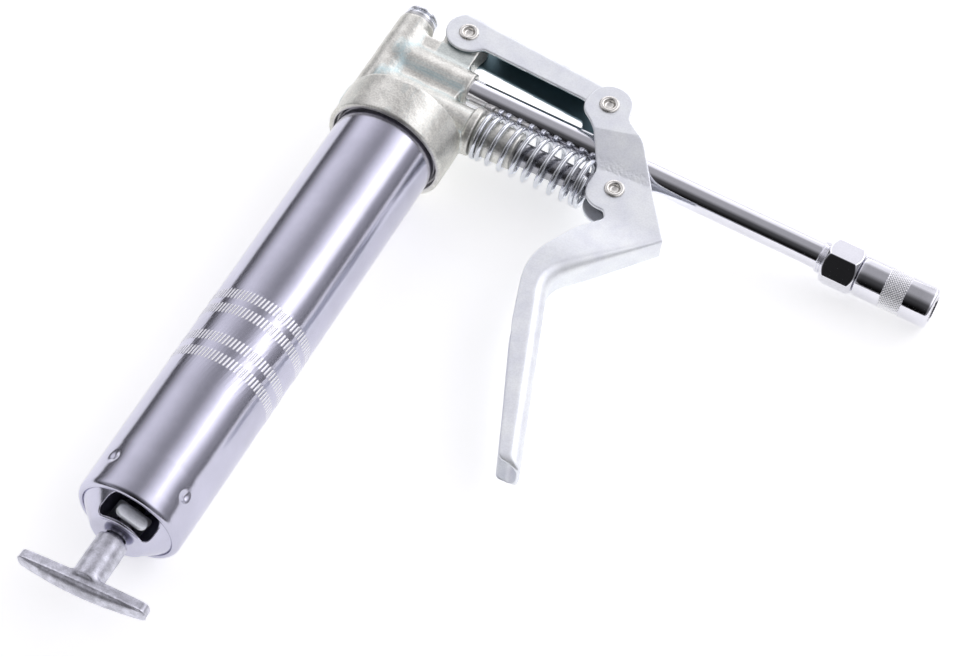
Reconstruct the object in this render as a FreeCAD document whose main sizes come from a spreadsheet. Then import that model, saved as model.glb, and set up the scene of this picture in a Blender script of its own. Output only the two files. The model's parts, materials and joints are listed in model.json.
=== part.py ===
import FreeCAD, Part
import math
import os
import Sketcher

# A one-hand lever grease gun, in millimetres, lying on its side.
# +X runs along the outlet pipe towards the coupler, +Y along the barrel towards the valve plug, and +Z is
# square to the plane that holds the barrel, the pipe and the lever. The origin is the middle of the
# coupler's mouth. Each piece is drawn around its own axis, with stations counted from the head centre
# (where the barrel's axis crosses the pipe's), and is then shifted back by the reach.

DRIVING_SIZES = {
    "reach": 198.4,              # head centre to the coupler's mouth
    "barrel_radius": 19.5,
    "barrel_wall": 1.0,
    "barrel_top": -27.0,
    "barrel_bottom": -215.0,
    "crimp_station": -202.7,     # four punched dimples that hold the end cap
    "collar_radius": 22.8,
    "collar_top": -22.0,
    "collar_bottom": -38.9,
    "socket_top": -24.5,         # roof of the barrel's socket inside the collar
    "thread_clearance": 0.08,
    "body_gap": 0.3,             # gap between pieces of different bodies that only touch
    "running_clearance": 0.05,
    "valve_offset": 16.5,        # valve tower axis, behind the barrel's axis
    "valve_radius": 7.1,
    "valve_top": 16.2,
    "valve_chamber_radius": 4.6,
    "valve_seat_station": -6.0,
    "valve_seat_radius": 3.2,
    "ball_radius": 3.6,
    "plug_radius": 6.4,
    "plug_top": 21.8,
    "outlet_radius": 6.7,
    "outlet_end": 14.6,
    "pump_drop": 15.2,           # plunger axis, below the pipe's axis
    "pump_root_radius": 7.4,
    "pump_shoulder_radius": 9.2,
    "pump_shoulder_end": 25.2,
    "pump_nose_radius": 7.1,
    "pump_nose_end": 41.5,
    "plunger_radius": 4.5,
    "pipe_radius": 5.0,
    "pipe_bore_radius": 2.4,
    "lug_x": 3.0,                # pivot between head and link
    "lug_y": 19.0,
    "lug_radius": 8.4,
    "lug_half_width": 4.5,
    "link_pivot_x": 62.4,        # pivot between link and lever
    "link_pivot_y": 14.4,
    "plunger_pivot_x": 79.7,     # pivot between lever and plunger
    "sheet": 1.5,                # thickness of the pressed link and lever
    "link_half_narrow": 6.3,
    "link_half_wide": 7.2,
    "lever_half_ear": 9.0,
    "lever_half_waist": 5.4,
    "lever_half_grip": 7.6,
    "rivet_radius": 2.5,
    "rivet_head_radius": 3.75,
    "rivet_head_height": 0.7,
    "spring_radius": 8.45,       # mean radius of the return spring
    "spring_wire": 2.0,
    "spring_start": 25.6,
    "spring_end": 67.8,
    "hex_across_flats": 15.0,
    "hex_start": 156.7,
    "hex_end": 169.5,
    "neck_start": 154.4,
    "sleeve_start": 169.9,
    "sleeve_radius": 7.55,
    "jaw_bore_radius": 3.4,
    "rod_radius": 3.2,
    "follower_station": -40.0,
    "cap_bottom": -222.0,
    "latch_turn": 20.0,          # direction of the latch window, degrees from +Z towards +X
    "stem_radius": 5.7,
    "stem_start": -223.4,
    "bar_top": -239.8,
    "bar_half_length": 24.5,
    "bar_width": 7.6,
    "bar_turn": -6.6,            # how the finger bar stands at rest, degrees about the barrel's axis
}

document = FreeCAD.newDocument("grease_gun")
sheet_object = document.addObject("Spreadsheet::Sheet", "Sizes")
for row, (alias, value) in enumerate(DRIVING_SIZES.items(), start=1):
    sheet_object.set("A%d" % row, alias)
    sheet_object.set("B%d" % row, repr(value))
    sheet_object.setAlias("B%d" % row, alias)
document.recompute()


class Size:
    """A length that knows its value and the sheet expression that gives it."""

    def __init__(self, value, text):
        self.value = float(value)
        self.text = text

    def __add__(self, other):
        other = as_size(other)
        return Size(self.value + other.value, "(%s + %s)" % (self.text, other.text))

    def __sub__(self, other):
        other = as_size(other)
        return Size(self.value - other.value, "(%s - %s)" % (self.text, other.text))

    def __mul__(self, factor):
        return Size(self.value * factor, "(%s * %r)" % (self.text, factor))

    def __neg__(self):
        return Size(-self.value, "(0 - %s)" % self.text)

    def __float__(self):
        return self.value


def as_size(value):
    """Let a plain number stand beside named sizes."""
    if isinstance(value, Size):
        return value
    return Size(value, "(%r)" % float(value))


def size(alias):
    """The named driving dimension, bound to its cell."""
    return Size(sheet_object.get(alias), "Sizes.%s" % alias)


def named_sizes():
    return {alias: size(alias) for alias in DRIVING_SIZES}


S = named_sizes()
SEAL_DEPTH = 1.4                 # groove for the plunger's seal
SUBPARTS = []


def bind(thing, path, value):
    """Bind one property to the expression that the size carries."""
    thing.setExpression(path, as_size(value).text)


def place(thing, x=0, y=0, z=0, turn=0, about=(0, 1, 0)):
    """Place a piece from the head centre, and shift it back by the reach."""
    thing.Placement = FreeCAD.Placement(
        FreeCAD.Vector(float(as_size(x)) - float(S["reach"]), float(as_size(y)), float(as_size(z))),
        FreeCAD.Rotation(FreeCAD.Vector(*about), float(as_size(turn))))
    bind(thing, "Placement.Base.x", as_size(x) - S["reach"])
    bind(thing, "Placement.Base.y", as_size(y))
    bind(thing, "Placement.Base.z", as_size(z))


def keep(thing, label):
    """Give a finished piece its own label and put it on the list of sub-parts."""
    thing.Label = label
    SUBPARTS.append(thing)
    return thing


# ---------------------------------------------------------------- sketches and turned pieces

def origin_plane(body, role):
    return [plane for plane in body.Origin.OriginFeatures if plane.Role == role][0]


def new_sketch(body, role="XY_Plane"):
    sketch = body.newObject("Sketcher::SketchObject", "Sketch")
    sketch.AttachmentSupport = (origin_plane(body, role), [""])
    sketch.MapMode = "FlatFace"
    return sketch


def bind_point(sketch, geometry, vertex, x, y):
    """Hold one vertex at its two distances from the sketch's origin."""
    for kind, length in (("DistanceX", as_size(x)), ("DistanceY", as_size(y))):
        index = sketch.addConstraint(
            Sketcher.Constraint(kind, -1, 1, geometry, vertex, float(length)))
        sketch.setExpression("Constraints[%d]" % index, length.text)


def polygon(sketch, corners):
    """A closed outline of straight lines with every corner bound to the sheet."""
    points = [FreeCAD.Vector(float(as_size(x)), float(as_size(y)), 0) for x, y in corners]
    first = sketch.GeometryCount
    count = len(points)
    for index in range(count):
        sketch.addGeometry(Part.LineSegment(points[index], points[(index + 1) % count]), False)
    for index in range(count):
        following = first + (index + 1) % count
        sketch.addConstraint(Sketcher.Constraint("Coincident", first + index, 2, following, 1))
    for index, (x, y) in enumerate(corners):
        bind_point(sketch, first + index, 1, x, y)


def circle(sketch, x, y, radius):
    """A circle with its centre and radius bound to the sheet."""
    centre = FreeCAD.Vector(float(as_size(x)), float(as_size(y)), 0)
    index = sketch.addGeometry(
        Part.Circle(centre, FreeCAD.Vector(0, 0, 1), float(as_size(radius))), False)
    bind_point(sketch, index, 3, x, y)
    constraint = sketch.addConstraint(Sketcher.Constraint("Radius", index, float(as_size(radius))))
    sketch.setExpression("Constraints[%d]" % constraint, as_size(radius).text)


def new_body(name):
    return document.addObject("PartDesign::Body", name)


def revolve(body, axis, profile, groove=False):
    """Turn (station, radius) corners about the body's own X or Y axis."""
    sketch = new_sketch(body)
    if axis == "X":
        polygon(sketch, profile)
    else:
        polygon(sketch, [(radius, station) for station, radius in profile])
    kind = "PartDesign::Groove" if groove else "PartDesign::Revolution"
    feature = body.newObject(kind, "Turned")
    feature.Profile = sketch
    feature.ReferenceAxis = (sketch, ["H_Axis" if axis == "X" else "V_Axis"])
    feature.Angle = 360
    body.Tip = feature
    return feature


def turned(label, axis, profile, x=0, y=0, z=0):
    """A whole piece turned from one profile."""
    body = new_body(label)
    revolve(body, axis, profile)
    place(body, x, y, z)
    return keep(body, label)


def coil(label, axis, radius, wire, start, end, turns, x=0, y=0):
    """A helical spring of round wire between two stations."""
    body = new_body(label)
    sketch = new_sketch(body)
    wire_radius = as_size(wire) * 0.5
    first = as_size(start) + wire_radius
    if axis == "X":
        circle(sketch, first, radius, wire_radius)
    else:
        circle(sketch, radius, first, wire_radius)
    helix = body.newObject("PartDesign::AdditiveHelix", "Coil")
    helix.Profile = sketch
    helix.ReferenceAxis = (sketch, ["H_Axis" if axis == "X" else "V_Axis"])
    helix.Mode = 2
    height = as_size(end) - start - wire
    helix.Turns = turns
    helix.Height = float(height)
    bind(helix, "Height", height)
    body.Tip = helix
    place(body, x, y)
    return keep(body, label)


# ---------------------------------------------------------------- primitives

def cylinder(axis, radius, start, end, x=0, y=0, z=0):
    """A round bar along X, Y or Z between two stations of that axis."""
    bar = document.addObject("Part::Cylinder", "Bar")
    bar.Radius = float(as_size(radius))
    bind(bar, "Radius", radius)
    length = as_size(end) - start
    bar.Height = float(length)
    bind(bar, "Height", length)
    turns = {"X": ((0, 1, 0), 90), "Y": ((1, 0, 0), -90), "Z": ((0, 0, 1), 0)}
    about, degrees = turns[axis]
    corner = {"X": (start, y, z), "Y": (x, start, z), "Z": (x, y, start)}[axis]
    place(bar, *corner, turn=degrees, about=about)
    return bar


def block(x_range, y_range, z_range):
    """A rectangular block between two stations on each axis."""
    brick = document.addObject("Part::Box", "Block")
    for path, (low, high) in (("Length", x_range), ("Width", y_range), ("Height", z_range)):
        setattr(brick, path, float(as_size(high) - low))
        bind(brick, path, as_size(high) - low)
    place(brick, x_range[0], y_range[0], z_range[0])
    return brick


def fuse(pieces):
    joined = document.addObject("Part::MultiFuse", "Joined")
    joined.Shapes = pieces
    joined.Refine = True
    return joined


def cut(base, tool):
    result = document.addObject("Part::Cut", "Cut")
    result.Base = base
    result.Tool = tool
    return result


# ---------------------------------------------------------------- pressed sheet pieces

def rounded_face(corners):
    """A flat face from (x, y, corner radius) points: straight runs joined by tangent arcs."""
    edges = []
    starts = []
    ends = []
    count = len(corners)
    for index, (x, y, radius) in enumerate(corners):
        here = FreeCAD.Vector(x, y, 0)
        before = FreeCAD.Vector(*corners[index - 1][:2], 0) - here
        after = FreeCAD.Vector(*corners[(index + 1) % count][:2], 0) - here
        before.normalize()
        after.normalize()
        if radius == 0:
            starts.append(here)
            ends.append(here)
            continue
        half_angle = before.getAngle(after) / 2
        reach = radius / math.tan(half_angle)
        inward = before + after
        inward.normalize()
        middle = here + inward * (radius / math.sin(half_angle) - radius)
        starts.append(here + before * reach)
        ends.append(here + after * reach)
        edges.append(Part.Arc(starts[-1], middle, ends[-1]).toShape())
    for index in range(count):
        run_start = ends[index]
        run_end = starts[(index + 1) % count]
        if run_start.distanceToPoint(run_end) > 1e-6:
            edges.append(Part.LineSegment(run_start, run_end).toShape())
    wire = Part.Wire(Part.__sortEdges__(edges))
    return Part.Face(wire)


def thick(face, half_width):
    """The face, drawn in the XY plane, as a slab of the given half width about it."""
    slab = face.copy()
    slab.translate(FreeCAD.Vector(0, 0, -half_width))
    return slab.extrude(FreeCAD.Vector(0, 0, 2 * half_width))


def width_prism(stations, inset, along):
    """All of space whose |z| is under a half width that changes along X or Y."""
    side = 400.0
    upper = [(station, half_width - inset) for station, half_width in stations]
    outline = upper + [(station, -half_width) for station, half_width in reversed(upper)]
    if along == "X":
        points = [FreeCAD.Vector(station, -side, z) for station, z in outline]
        sweep = FreeCAD.Vector(0, 2 * side, 0)
    else:
        points = [FreeCAD.Vector(-side, station, z) for station, z in outline]
        sweep = FreeCAD.Vector(2 * side, 0, 0)
    return Part.Face(Part.makePolygon(points + points[:1])).extrude(sweep)


def hole_along_z(x, y, radius):
    reach = 30.0
    return Part.makeCylinder(radius, 2 * reach, FreeCAD.Vector(x, y, -reach))


def pressed_piece(label, shape):
    """A computed sheet-metal shape as a document object at its place."""
    feature = document.addObject("Part::Feature", label)
    feature.Shape = shape
    place(feature)
    return keep(feature, label)


# ---------------------------------------------------------------- head casting

def head_casting():
    """Collar, valve tower, outlet boss, pump boss and pivot lug of one casting, with its bores."""
    collar = new_body("CollarBody")
    thread_radius = S["barrel_radius"] + S["thread_clearance"]
    revolve(collar, "Y", [
        (S["collar_bottom"], S["collar_radius"] - 2.3),
        (S["collar_bottom"], S["collar_radius"] - 0.5),
        (S["collar_bottom"] + 0.6, S["collar_radius"]),
        (S["collar_top"] - 3.0, S["collar_radius"] - 0.2),
        (S["collar_top"] - 0.9, S["collar_radius"] - 1.2),
        (S["collar_top"], S["collar_radius"] - 3.4),
        (S["collar_top"], 0),
        (S["socket_top"], 0),
        (S["socket_top"], thread_radius),
        (S["collar_bottom"] + 2.6, thread_radius),
        (S["collar_bottom"] + 1.6, S["collar_radius"] - 2.3),
    ])
    place(collar)
    tower = new_body("TowerBody")
    revolve(tower, "Y", [
        (S["collar_top"] - 1.0, 0),
        (S["collar_top"] - 1.0, S["valve_radius"]),
        (S["valve_top"] - 1.2, S["valve_radius"]),
        (S["valve_top"], S["valve_radius"] - 1.2),
        (S["valve_top"], 0),
    ])
    place(tower, -S["valve_offset"])
    pump = new_body("PumpBossBody")
    revolve(pump, "X", [
        (-S["valve_offset"], 0),
        (-S["valve_offset"], S["pump_root_radius"]),
        (S["pump_shoulder_end"] - 3.4, S["pump_root_radius"]),
        (S["pump_shoulder_end"] - 2.4, S["pump_shoulder_radius"]),
        (S["pump_shoulder_end"], S["pump_shoulder_radius"]),
        (S["pump_shoulder_end"], S["pump_nose_radius"]),
        (S["pump_nose_end"] - 1.2, S["pump_nose_radius"]),
        (S["pump_nose_end"], S["pump_nose_radius"] - 1.2),
        (S["pump_nose_end"], 0),
    ])
    place(pump, 0, -S["pump_drop"])
    outlet = cylinder("X", S["outlet_radius"], -S["valve_offset"], S["outlet_end"])
    bridge = block((-S["valve_offset"], S["outlet_end"] - 2), (-S["pump_drop"], 0), (-5.2, 5.2))
    lug = cylinder("Z", S["lug_radius"] - 0.3, -S["lug_half_width"], S["lug_half_width"],
                   S["lug_x"], S["lug_y"])
    web = block((-S["valve_offset"], S["lug_x"] + 7.4), (0, S["lug_y"] - 7.8),
                (-S["lug_half_width"], S["lug_half_width"]))
    neck = block((S["lug_x"] - 7.2, S["lug_x"] + 7.4), (0, S["lug_y"] - 1.0),
                 (-S["lug_half_width"], S["lug_half_width"]))
    solid = fuse([collar, tower, pump, outlet, bridge, lug, web, neck])
    bores = fuse([
        cylinder("X", S["plunger_radius"] + S["running_clearance"], -S["valve_offset"],
                 S["pump_nose_end"] + 1, y=-S["pump_drop"]),
        cylinder("X", S["plunger_radius"] + SEAL_DEPTH, S["pump_nose_end"] - 5.0,
                 S["pump_nose_end"] - 3.0, y=-S["pump_drop"]),
        cylinder("Y", S["valve_seat_radius"], -S["pump_drop"], S["valve_seat_station"] + 1,
                 -S["valve_offset"]),
        cylinder("Y", S["valve_chamber_radius"], S["valve_seat_station"], S["valve_top"] + 1,
                 -S["valve_offset"]),
        cylinder("X", S["pipe_bore_radius"], -S["valve_offset"], 5),
        cylinder("X", S["pipe_radius"], 4, S["outlet_end"] + 1),
        cylinder("Y", 2.5, S["socket_top"] - 1, -S["pump_drop"], 2),
        cylinder("Z", S["rivet_radius"] + S["running_clearance"], -10, 10, S["lug_x"], S["lug_y"]),
    ])
    keep(cut(solid, bores), "head_casting")


def valve_pieces():
    """Check ball, its spring, the washer and the domed screw plug on top of the tower."""
    ball = document.addObject("Part::Sphere", "Ball")
    ball.Radius = float(S["ball_radius"])
    bind(ball, "Radius", S["ball_radius"])
    seat_rise = 1.75
    place(ball, -S["valve_offset"], S["valve_seat_station"] + seat_rise)
    keep(ball, "check_ball")
    coil("check_spring", "Y", 2.6, 0.6, S["valve_seat_station"] + 5.8, 8.4, 6, -S["valve_offset"])
    turned("plug_washer", "Y", [
        (S["valve_top"], S["valve_chamber_radius"] + 0.1),
        (S["valve_top"], S["plug_radius"] + 0.1),
        (S["valve_top"] + 1.0, S["plug_radius"] + 0.1),
        (S["valve_top"] + 1.0, S["valve_chamber_radius"] + 0.1),
    ], -S["valve_offset"])
    flange = S["valve_top"] + 1.0
    turned("valve_plug", "Y", [
        (8.6, 0),
        (8.6, S["valve_chamber_radius"] - 0.6),
        (9.2, S["valve_chamber_radius"]),
        (flange, S["valve_chamber_radius"]),
        (flange, S["plug_radius"]),
        (flange + 1.3, S["plug_radius"]),
        (flange + 1.3, S["plug_radius"] - 0.9),
        (flange + 2.1, S["plug_radius"] - 0.9),
        (flange + 2.3, S["plug_radius"] - 0.1),
        (S["plug_top"] - 1.3, S["plug_radius"] - 0.1),
        (S["plug_top"] - 0.4, S["plug_radius"] - 1.2),
        (S["plug_top"], S["plug_radius"] - 3.4),
        (S["plug_top"], 0),
    ], -S["valve_offset"])


# ---------------------------------------------------------------- barrel and its contents

def ball_cutter(radius, x, y, z):
    """A sphere that presses a shallow dimple."""
    cutter = document.addObject("Part::Sphere", "Cutter")
    cutter.Radius = radius
    place(cutter, x, y, z)
    return cutter


def barrel_gasket():
    """Rubber ring between the barrel's top edge and the head."""
    top = S["socket_top"] - S["body_gap"]
    bottom = top - 1.9
    outer = S["barrel_radius"] - 0.3
    hole = 15.5
    turned("barrel_gasket", "Y", [(top, hole), (top, outer), (bottom, outer), (bottom, hole)])


def barrel_tube():
    """Drawn tube with a rolled lip at the bottom and four punched crimps above it."""
    inner = S["barrel_radius"] - S["barrel_wall"]
    lip = S["barrel_bottom"]
    tube = new_body("TubeBody")
    revolve(tube, "Y", [
        (S["barrel_top"], inner),
        (S["barrel_top"], S["barrel_radius"]),
        (lip + 2.6, S["barrel_radius"]),
        (lip + 0.8, S["barrel_radius"] - 0.7),
        (lip, S["barrel_radius"] - 2.2),
        (lip + 0.9, S["barrel_radius"] - 2.7),
        (lip + 2.4, inner),
    ])
    place(tube)
    crimp_radius = 3.0
    crimp_depth = 0.6
    crimp_reach = float(S["barrel_radius"]) + crimp_radius - crimp_depth
    crimps = []
    for turn in (-38, 52, 142, 232):
        across = crimp_reach * math.sin(math.radians(turn))
        up = crimp_reach * math.cos(math.radians(turn))
        crimps.append(ball_cutter(crimp_radius, across, S["crimp_station"], up))
    keep(cut(tube, fuse(crimps)), "barrel_tube")


def turned_block(x_range, y_range, z_range, turn):
    """A block turned about the barrel's axis."""
    brick = block(x_range, y_range, z_range)
    rotation = FreeCAD.Rotation(FreeCAD.Vector(0, 1, 0), float(as_size(turn)))
    corner = FreeCAD.Vector(*[float(as_size(span[0])) for span in (x_range, y_range, z_range)])
    for path in ("x", "y", "z"):
        brick.setExpression("Placement.Base.%s" % path, None)
    brick.Placement = FreeCAD.Placement(
        FreeCAD.Vector(-float(S["reach"]), 0, 0) + rotation.multVec(corner), rotation)
    return brick


def end_cap():
    """Pressed cup with a cone below, and a stepped window for the latch on one side."""
    wall = 1.0
    inner = S["barrel_radius"] - S["barrel_wall"]
    lip = S["barrel_bottom"]
    bottom = S["cap_bottom"]
    cone_top = S["barrel_radius"] - 2.9
    cap = new_body("CapBody")
    revolve(cap, "Y", [
        (lip + 17.0, inner - wall),
        (lip + 17.0, inner),
        (lip + 2.6, inner),
        (lip + 1.2, cone_top),
        (bottom + 1.0, 9.6),
        (bottom, 8.4),
        (bottom, S["rod_radius"] + 0.4),
        (bottom + wall, S["rod_radius"] + 0.4),
        (bottom + wall, 8.0),
        (lip + 1.4, cone_top - 1.4),
        (lip + 3.0, inner - wall),
    ])
    place(cap)
    window = fuse([
        turned_block((-7.5, 7.5), (bottom + 1.8, lip + 1.0), (5.5, 20.0), S["latch_turn"]),
        turned_block((-11.5, 11.5), (bottom + 4.4, lip + 1.0), (5.5, 20.0), S["latch_turn"]),
    ])
    keep(cut(cap, window), "end_cap")


def latch_plate():
    """Sprung strip with a rounded end that catches the groove of the drawn rod."""
    top = S["barrel_bottom"] + 1.4
    thickness = 2.4
    half_width = 6.5
    plate = document.addObject("Part::MultiCommon", "PlateOutline")
    strip = block((-half_width, half_width), (top - thickness, top), (-11.0, 10.5))
    disc = cylinder("Y", 12.2, top - thickness, top)
    plate.Shapes = [strip, disc]
    hole = cylinder("Y", S["rod_radius"] + 0.7, top - thickness - 1, top + 1)
    drilled = cut(plate, hole)
    axis_point = FreeCAD.Vector(-float(S["reach"]), 0, 0)
    rotation = FreeCAD.Rotation(FreeCAD.Vector(0, 1, 0), float(S["latch_turn"]))
    drilled.Placement = FreeCAD.Placement(axis_point - rotation.multVec(axis_point), rotation)
    keep(drilled, "latch_plate")
    coil("latch_spring", "Y", 5.2, 0.9, top + 0.3, S["barrel_bottom"] + 17.0, 6)


def spring_seat():
    turned("spring_seat", "Y", [
        (S["barrel_bottom"] + 17.0, S["rod_radius"] + 0.5),
        (S["barrel_bottom"] + 17.0, S["barrel_radius"] - S["barrel_wall"] - 0.1),
        (S["barrel_bottom"] + 18.2, S["barrel_radius"] - S["barrel_wall"] - 0.1),
        (S["barrel_bottom"] + 18.2, S["rod_radius"] + 0.5),
    ])


def follower_pieces():
    """Rubber cup between two steel plates, swivelling on the neck of the rod."""
    top = S["follower_station"]
    hole = S["rod_radius"] - 0.7 + S["running_clearance"]
    cup_radius = S["barrel_radius"] - S["barrel_wall"] - 0.2
    turned("follower_front_plate", "Y", [(top, hole), (top, 14.5), (top - 1.2, 14.5), (top - 1.2, hole)])
    turned("follower_cup", "Y", [
        (top - 1.2, hole), (top - 1.2, cup_radius - 2.4), (top + 0.6, cup_radius - 1.0),
        (top + 0.6, cup_radius), (top - 7.8, cup_radius), (top - 7.8, cup_radius - 1.0),
        (top - 5.0, cup_radius - 2.6), (top - 5.0, hole),
    ])
    turned("follower_back_plate", "Y", [(top - 5.0, hole), (top - 5.0, 14.5), (top - 6.2, 14.5), (top - 6.2, hole)])
    coil("follower_spring", "Y", 11.6, 1.8, S["barrel_bottom"] + 18.4, top - 6.4, 15)


def rod_pieces():
    """Rod with a swivel neck and a latch groove, its nut, and the cast finger bar."""
    top = S["follower_station"]
    neck = S["rod_radius"] - 0.7
    groove = S["barrel_bottom"] + 118.0
    turned("follower_rod", "Y", [
        (top + 4.6, 0), (top + 4.6, neck), (top - 6.5, neck), (top - 6.5, S["rod_radius"]),
        (groove + 1.8, S["rod_radius"]), (groove + 1.8, neck), (groove - 1.8, neck),
        (groove - 1.8, S["rod_radius"]), (S["stem_start"] - 12.5, S["rod_radius"]),
        (S["stem_start"] - 12.5, 0),
    ])
    nut = document.addObject("Part::Prism", "Nut")
    nut.Polygon = 6
    nut.Circumradius = 5.0
    nut.Height = 3.4
    place(nut, 0, top + 0.3, 0, turn=-90, about=(1, 0, 0))
    bore = cylinder("Y", neck, top - 1, top + 6)
    keep(cut(nut, bore), "rod_nut")
    finger_bar()


def finger_bar():
    """Cast finger bar, bowed on its outer side, with a round stem bored for the rod."""
    body = new_body("t_handle")
    sketch = new_sketch(body)
    half = S["bar_half_length"]
    top = S["bar_top"]
    end_depth = 3.6
    bow_depth = 6.6
    corners = [(-half, top), (half, top), (half, top - end_depth), (-half, top - end_depth)]
    points = [FreeCAD.Vector(float(x), float(y), 0) for x, y in corners]
    lowest = FreeCAD.Vector(0, float(top) - bow_depth, 0)
    sketch.addGeometry(Part.LineSegment(points[0], points[1]), False)
    sketch.addGeometry(Part.LineSegment(points[1], points[2]), False)
    sketch.addGeometry(Part.Arc(points[3], lowest, points[2]), False)
    sketch.addGeometry(Part.LineSegment(points[3], points[0]), False)
    sketch.addConstraint(Sketcher.Constraint("Coincident", 0, 2, 1, 1))
    sketch.addConstraint(Sketcher.Constraint("Coincident", 1, 2, 2, 2))
    sketch.addConstraint(Sketcher.Constraint("Coincident", 2, 1, 3, 1))
    sketch.addConstraint(Sketcher.Constraint("Coincident", 3, 2, 0, 1))
    for geometry, (x, y) in zip((0, 1, 3), (corners[0], corners[1], corners[3])):
        bind_point(sketch, geometry, 1, x, y)
    bind_point(sketch, 1, 2, *corners[2])
    sagitta = bow_depth - end_depth
    arc_radius = (float(half) ** 2 + sagitta ** 2) / (2 * sagitta)
    sketch.addConstraint(Sketcher.Constraint("Radius", 2, arc_radius))
    bar = body.newObject("PartDesign::Pad", "Bar")
    bar.Profile = sketch
    bar.SideType = "Symmetric"
    bar.Length = float(S["bar_width"])
    bind(bar, "Length", S["bar_width"])
    body.Tip = bar
    document.recompute()
    edges = ["Edge%d" % (index + 1) for index in range(len(bar.Shape.Edges))]
    fillet = body.newObject("PartDesign::Fillet", "Rounded")
    fillet.Base = (bar, edges)
    fillet.Radius = 1.4
    body.Tip = fillet
    document.recompute()
    revolve(body, "Y", [(S["stem_start"], 0), (S["stem_start"], S["stem_radius"] - 0.4),
                        (S["stem_start"] - 0.5, S["stem_radius"]), (top - 1.5, S["stem_radius"]), (top - 1.5, 0)])
    document.recompute()
    revolve(body, "Y", [(S["stem_start"] + 1, 0), (S["stem_start"] + 1, S["rod_radius"]),
                        (S["stem_start"] - 12.5, S["rod_radius"]), (S["stem_start"] - 12.5, 0)], groove=True)
    place(body, turn=S["bar_turn"])
    keep(body, "t_handle")


# ---------------------------------------------------------------- pump, link and lever

def plunger():
    """Ground rod with a long flat eye at its outer end; the eye's hole is long enough for the pivot's drift."""
    eye_half = 3.4
    eye_radius = 6.0
    flat_length = 16.0
    radius = S["plunger_radius"]
    x = S["plunger_pivot_x"]
    y = -S["pump_drop"]
    rod = cylinder("X", radius, 12.0, x - 4.0, y=y)
    eye = cylinder("Z", eye_radius, -eye_half, eye_half, x, y)
    slot_radius = S["rivet_radius"] + 0.35
    drift = 0.6
    slot = fuse([cylinder("Z", slot_radius, -6, 6, x, y - drift), cylinder("Z", slot_radius, -6, 6, x, y + drift)])
    sides = fuse([
        block((x - flat_length, x + 1), (y - 6, y + 6), (eye_half, 6)),
        block((x - flat_length, x + 1), (y - 6, y + 6), (-6, -eye_half)),
    ])
    keep(cut(fuse([cut(rod, sides), eye]), slot), "plunger")
    seal_start = S["pump_nose_end"] - 5.0
    seal_end = S["pump_nose_end"] - 3.0
    turned("plunger_seal", "X", [
        (seal_start, radius + 0.02), (seal_start, radius + SEAL_DEPTH),
        (seal_end, radius + SEAL_DEPTH), (seal_end, radius + 0.02),
    ], 0, y)
    coil("return_spring", "X", S["spring_radius"], S["spring_wire"], S["spring_start"], S["spring_end"], 8, 0, y)


def rivet(label, x, y, grip_half_width):
    """Tubular rivet across both plates, rolled over at each end and open down the middle."""
    outer = grip_half_width + S["rivet_head_height"]
    body = new_body(label)
    half = [
        (outer - 0.25, S["rivet_head_radius"] - 1.6),
        (outer, S["rivet_head_radius"] - 1.2),
        (outer, S["rivet_head_radius"] - 0.5),
        (outer - 0.35, S["rivet_head_radius"]),
        (grip_half_width, S["rivet_head_radius"]),
        (grip_half_width, S["rivet_radius"]),
    ]
    pit_depth = 3.0
    pit = [(outer - pit_depth, 0), (outer - pit_depth, S["rivet_head_radius"] - 2.0)]
    upper = pit + half
    lower = [(-station, radius) for station, radius in reversed(upper)]
    revolve(body, "X", upper + lower)
    place(body, x, y, 0, turn=-90, about=(0, 1, 0))
    keep(body, label)


def values(*names):
    return [float(S[name]) for name in names]


def link():
    """Channel of pressed sheet: two round lugs, joined by a strip that is closed along its top."""
    ax, ay, bx, by, radius, sheet, narrow, wide = values(
        "lug_x", "lug_y", "link_pivot_x", "link_pivot_y", "lug_radius", "sheet",
        "link_half_narrow", "link_half_wide")
    direction = FreeCAD.Vector(bx - ax, by - ay, 0)
    direction.normalize()
    upward = FreeCAD.Vector(-direction.y, direction.x, 0)
    first = FreeCAD.Vector(ax, ay, 0)
    second = FreeCAD.Vector(bx, by, 0)
    drop_first = 3.6
    drop_second = 1.6

    def strip(rise, start, stop):
        """A strip from the lower edge up to a rise above the pivots' line."""
        points = [first + direction * start - upward * drop_first,
                  second + direction * stop - upward * drop_second,
                  second + direction * stop + upward * rise,
                  first + direction * start + upward * rise]
        return Part.Face(Part.makePolygon(points + points[:1]))

    stations = [(-60, narrow), (ax + 9, narrow), (bx - 12, wide), (160, wide)]
    lugs = [Part.Face(Part.Wire(Part.makeCircle(radius, centre))) for centre in (first, second)]
    solid = thick(strip(radius, 0, 0), 12)
    for lug in lugs:
        solid = solid.fuse(thick(lug, 12))
    hollow = thick(strip(radius - sheet, 0, 0), 12)
    closed = 9.5
    for lug, centre, side in zip(lugs, (first, second), (-1, 1)):
        end_zone = Part.makeBox(80, 80, 24, FreeCAD.Vector(-40, -40, -12))
        end_zone.Placement = FreeCAD.Placement(
            centre + direction * (side * 40 - side * closed),
            FreeCAD.Rotation(FreeCAD.Vector(1, 0, 0), direction)).multiply(end_zone.Placement)
        hollow = hollow.fuse(end_zone)
    lower_zone = Part.makeBox(160, 40, 24, FreeCAD.Vector(-50, -40, -12))
    lower_zone.Placement = FreeCAD.Placement(
        first, FreeCAD.Rotation(FreeCAD.Vector(1, 0, 0), direction)).multiply(lower_zone.Placement)
    hollow = hollow.fuse(lower_zone)
    solid = solid.common(width_prism(stations, 0, "X"))
    solid = solid.cut(hollow.common(width_prism(stations, sheet, "X")))
    hole_radius = float(S["rivet_radius"])
    for centre, clearance in ((first, 0.0), (second, float(S["running_clearance"]))):
        solid = solid.cut(hole_along_z(centre.x, centre.y, hole_radius + clearance))
    pressed_piece("link", solid.removeSplitter())


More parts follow.
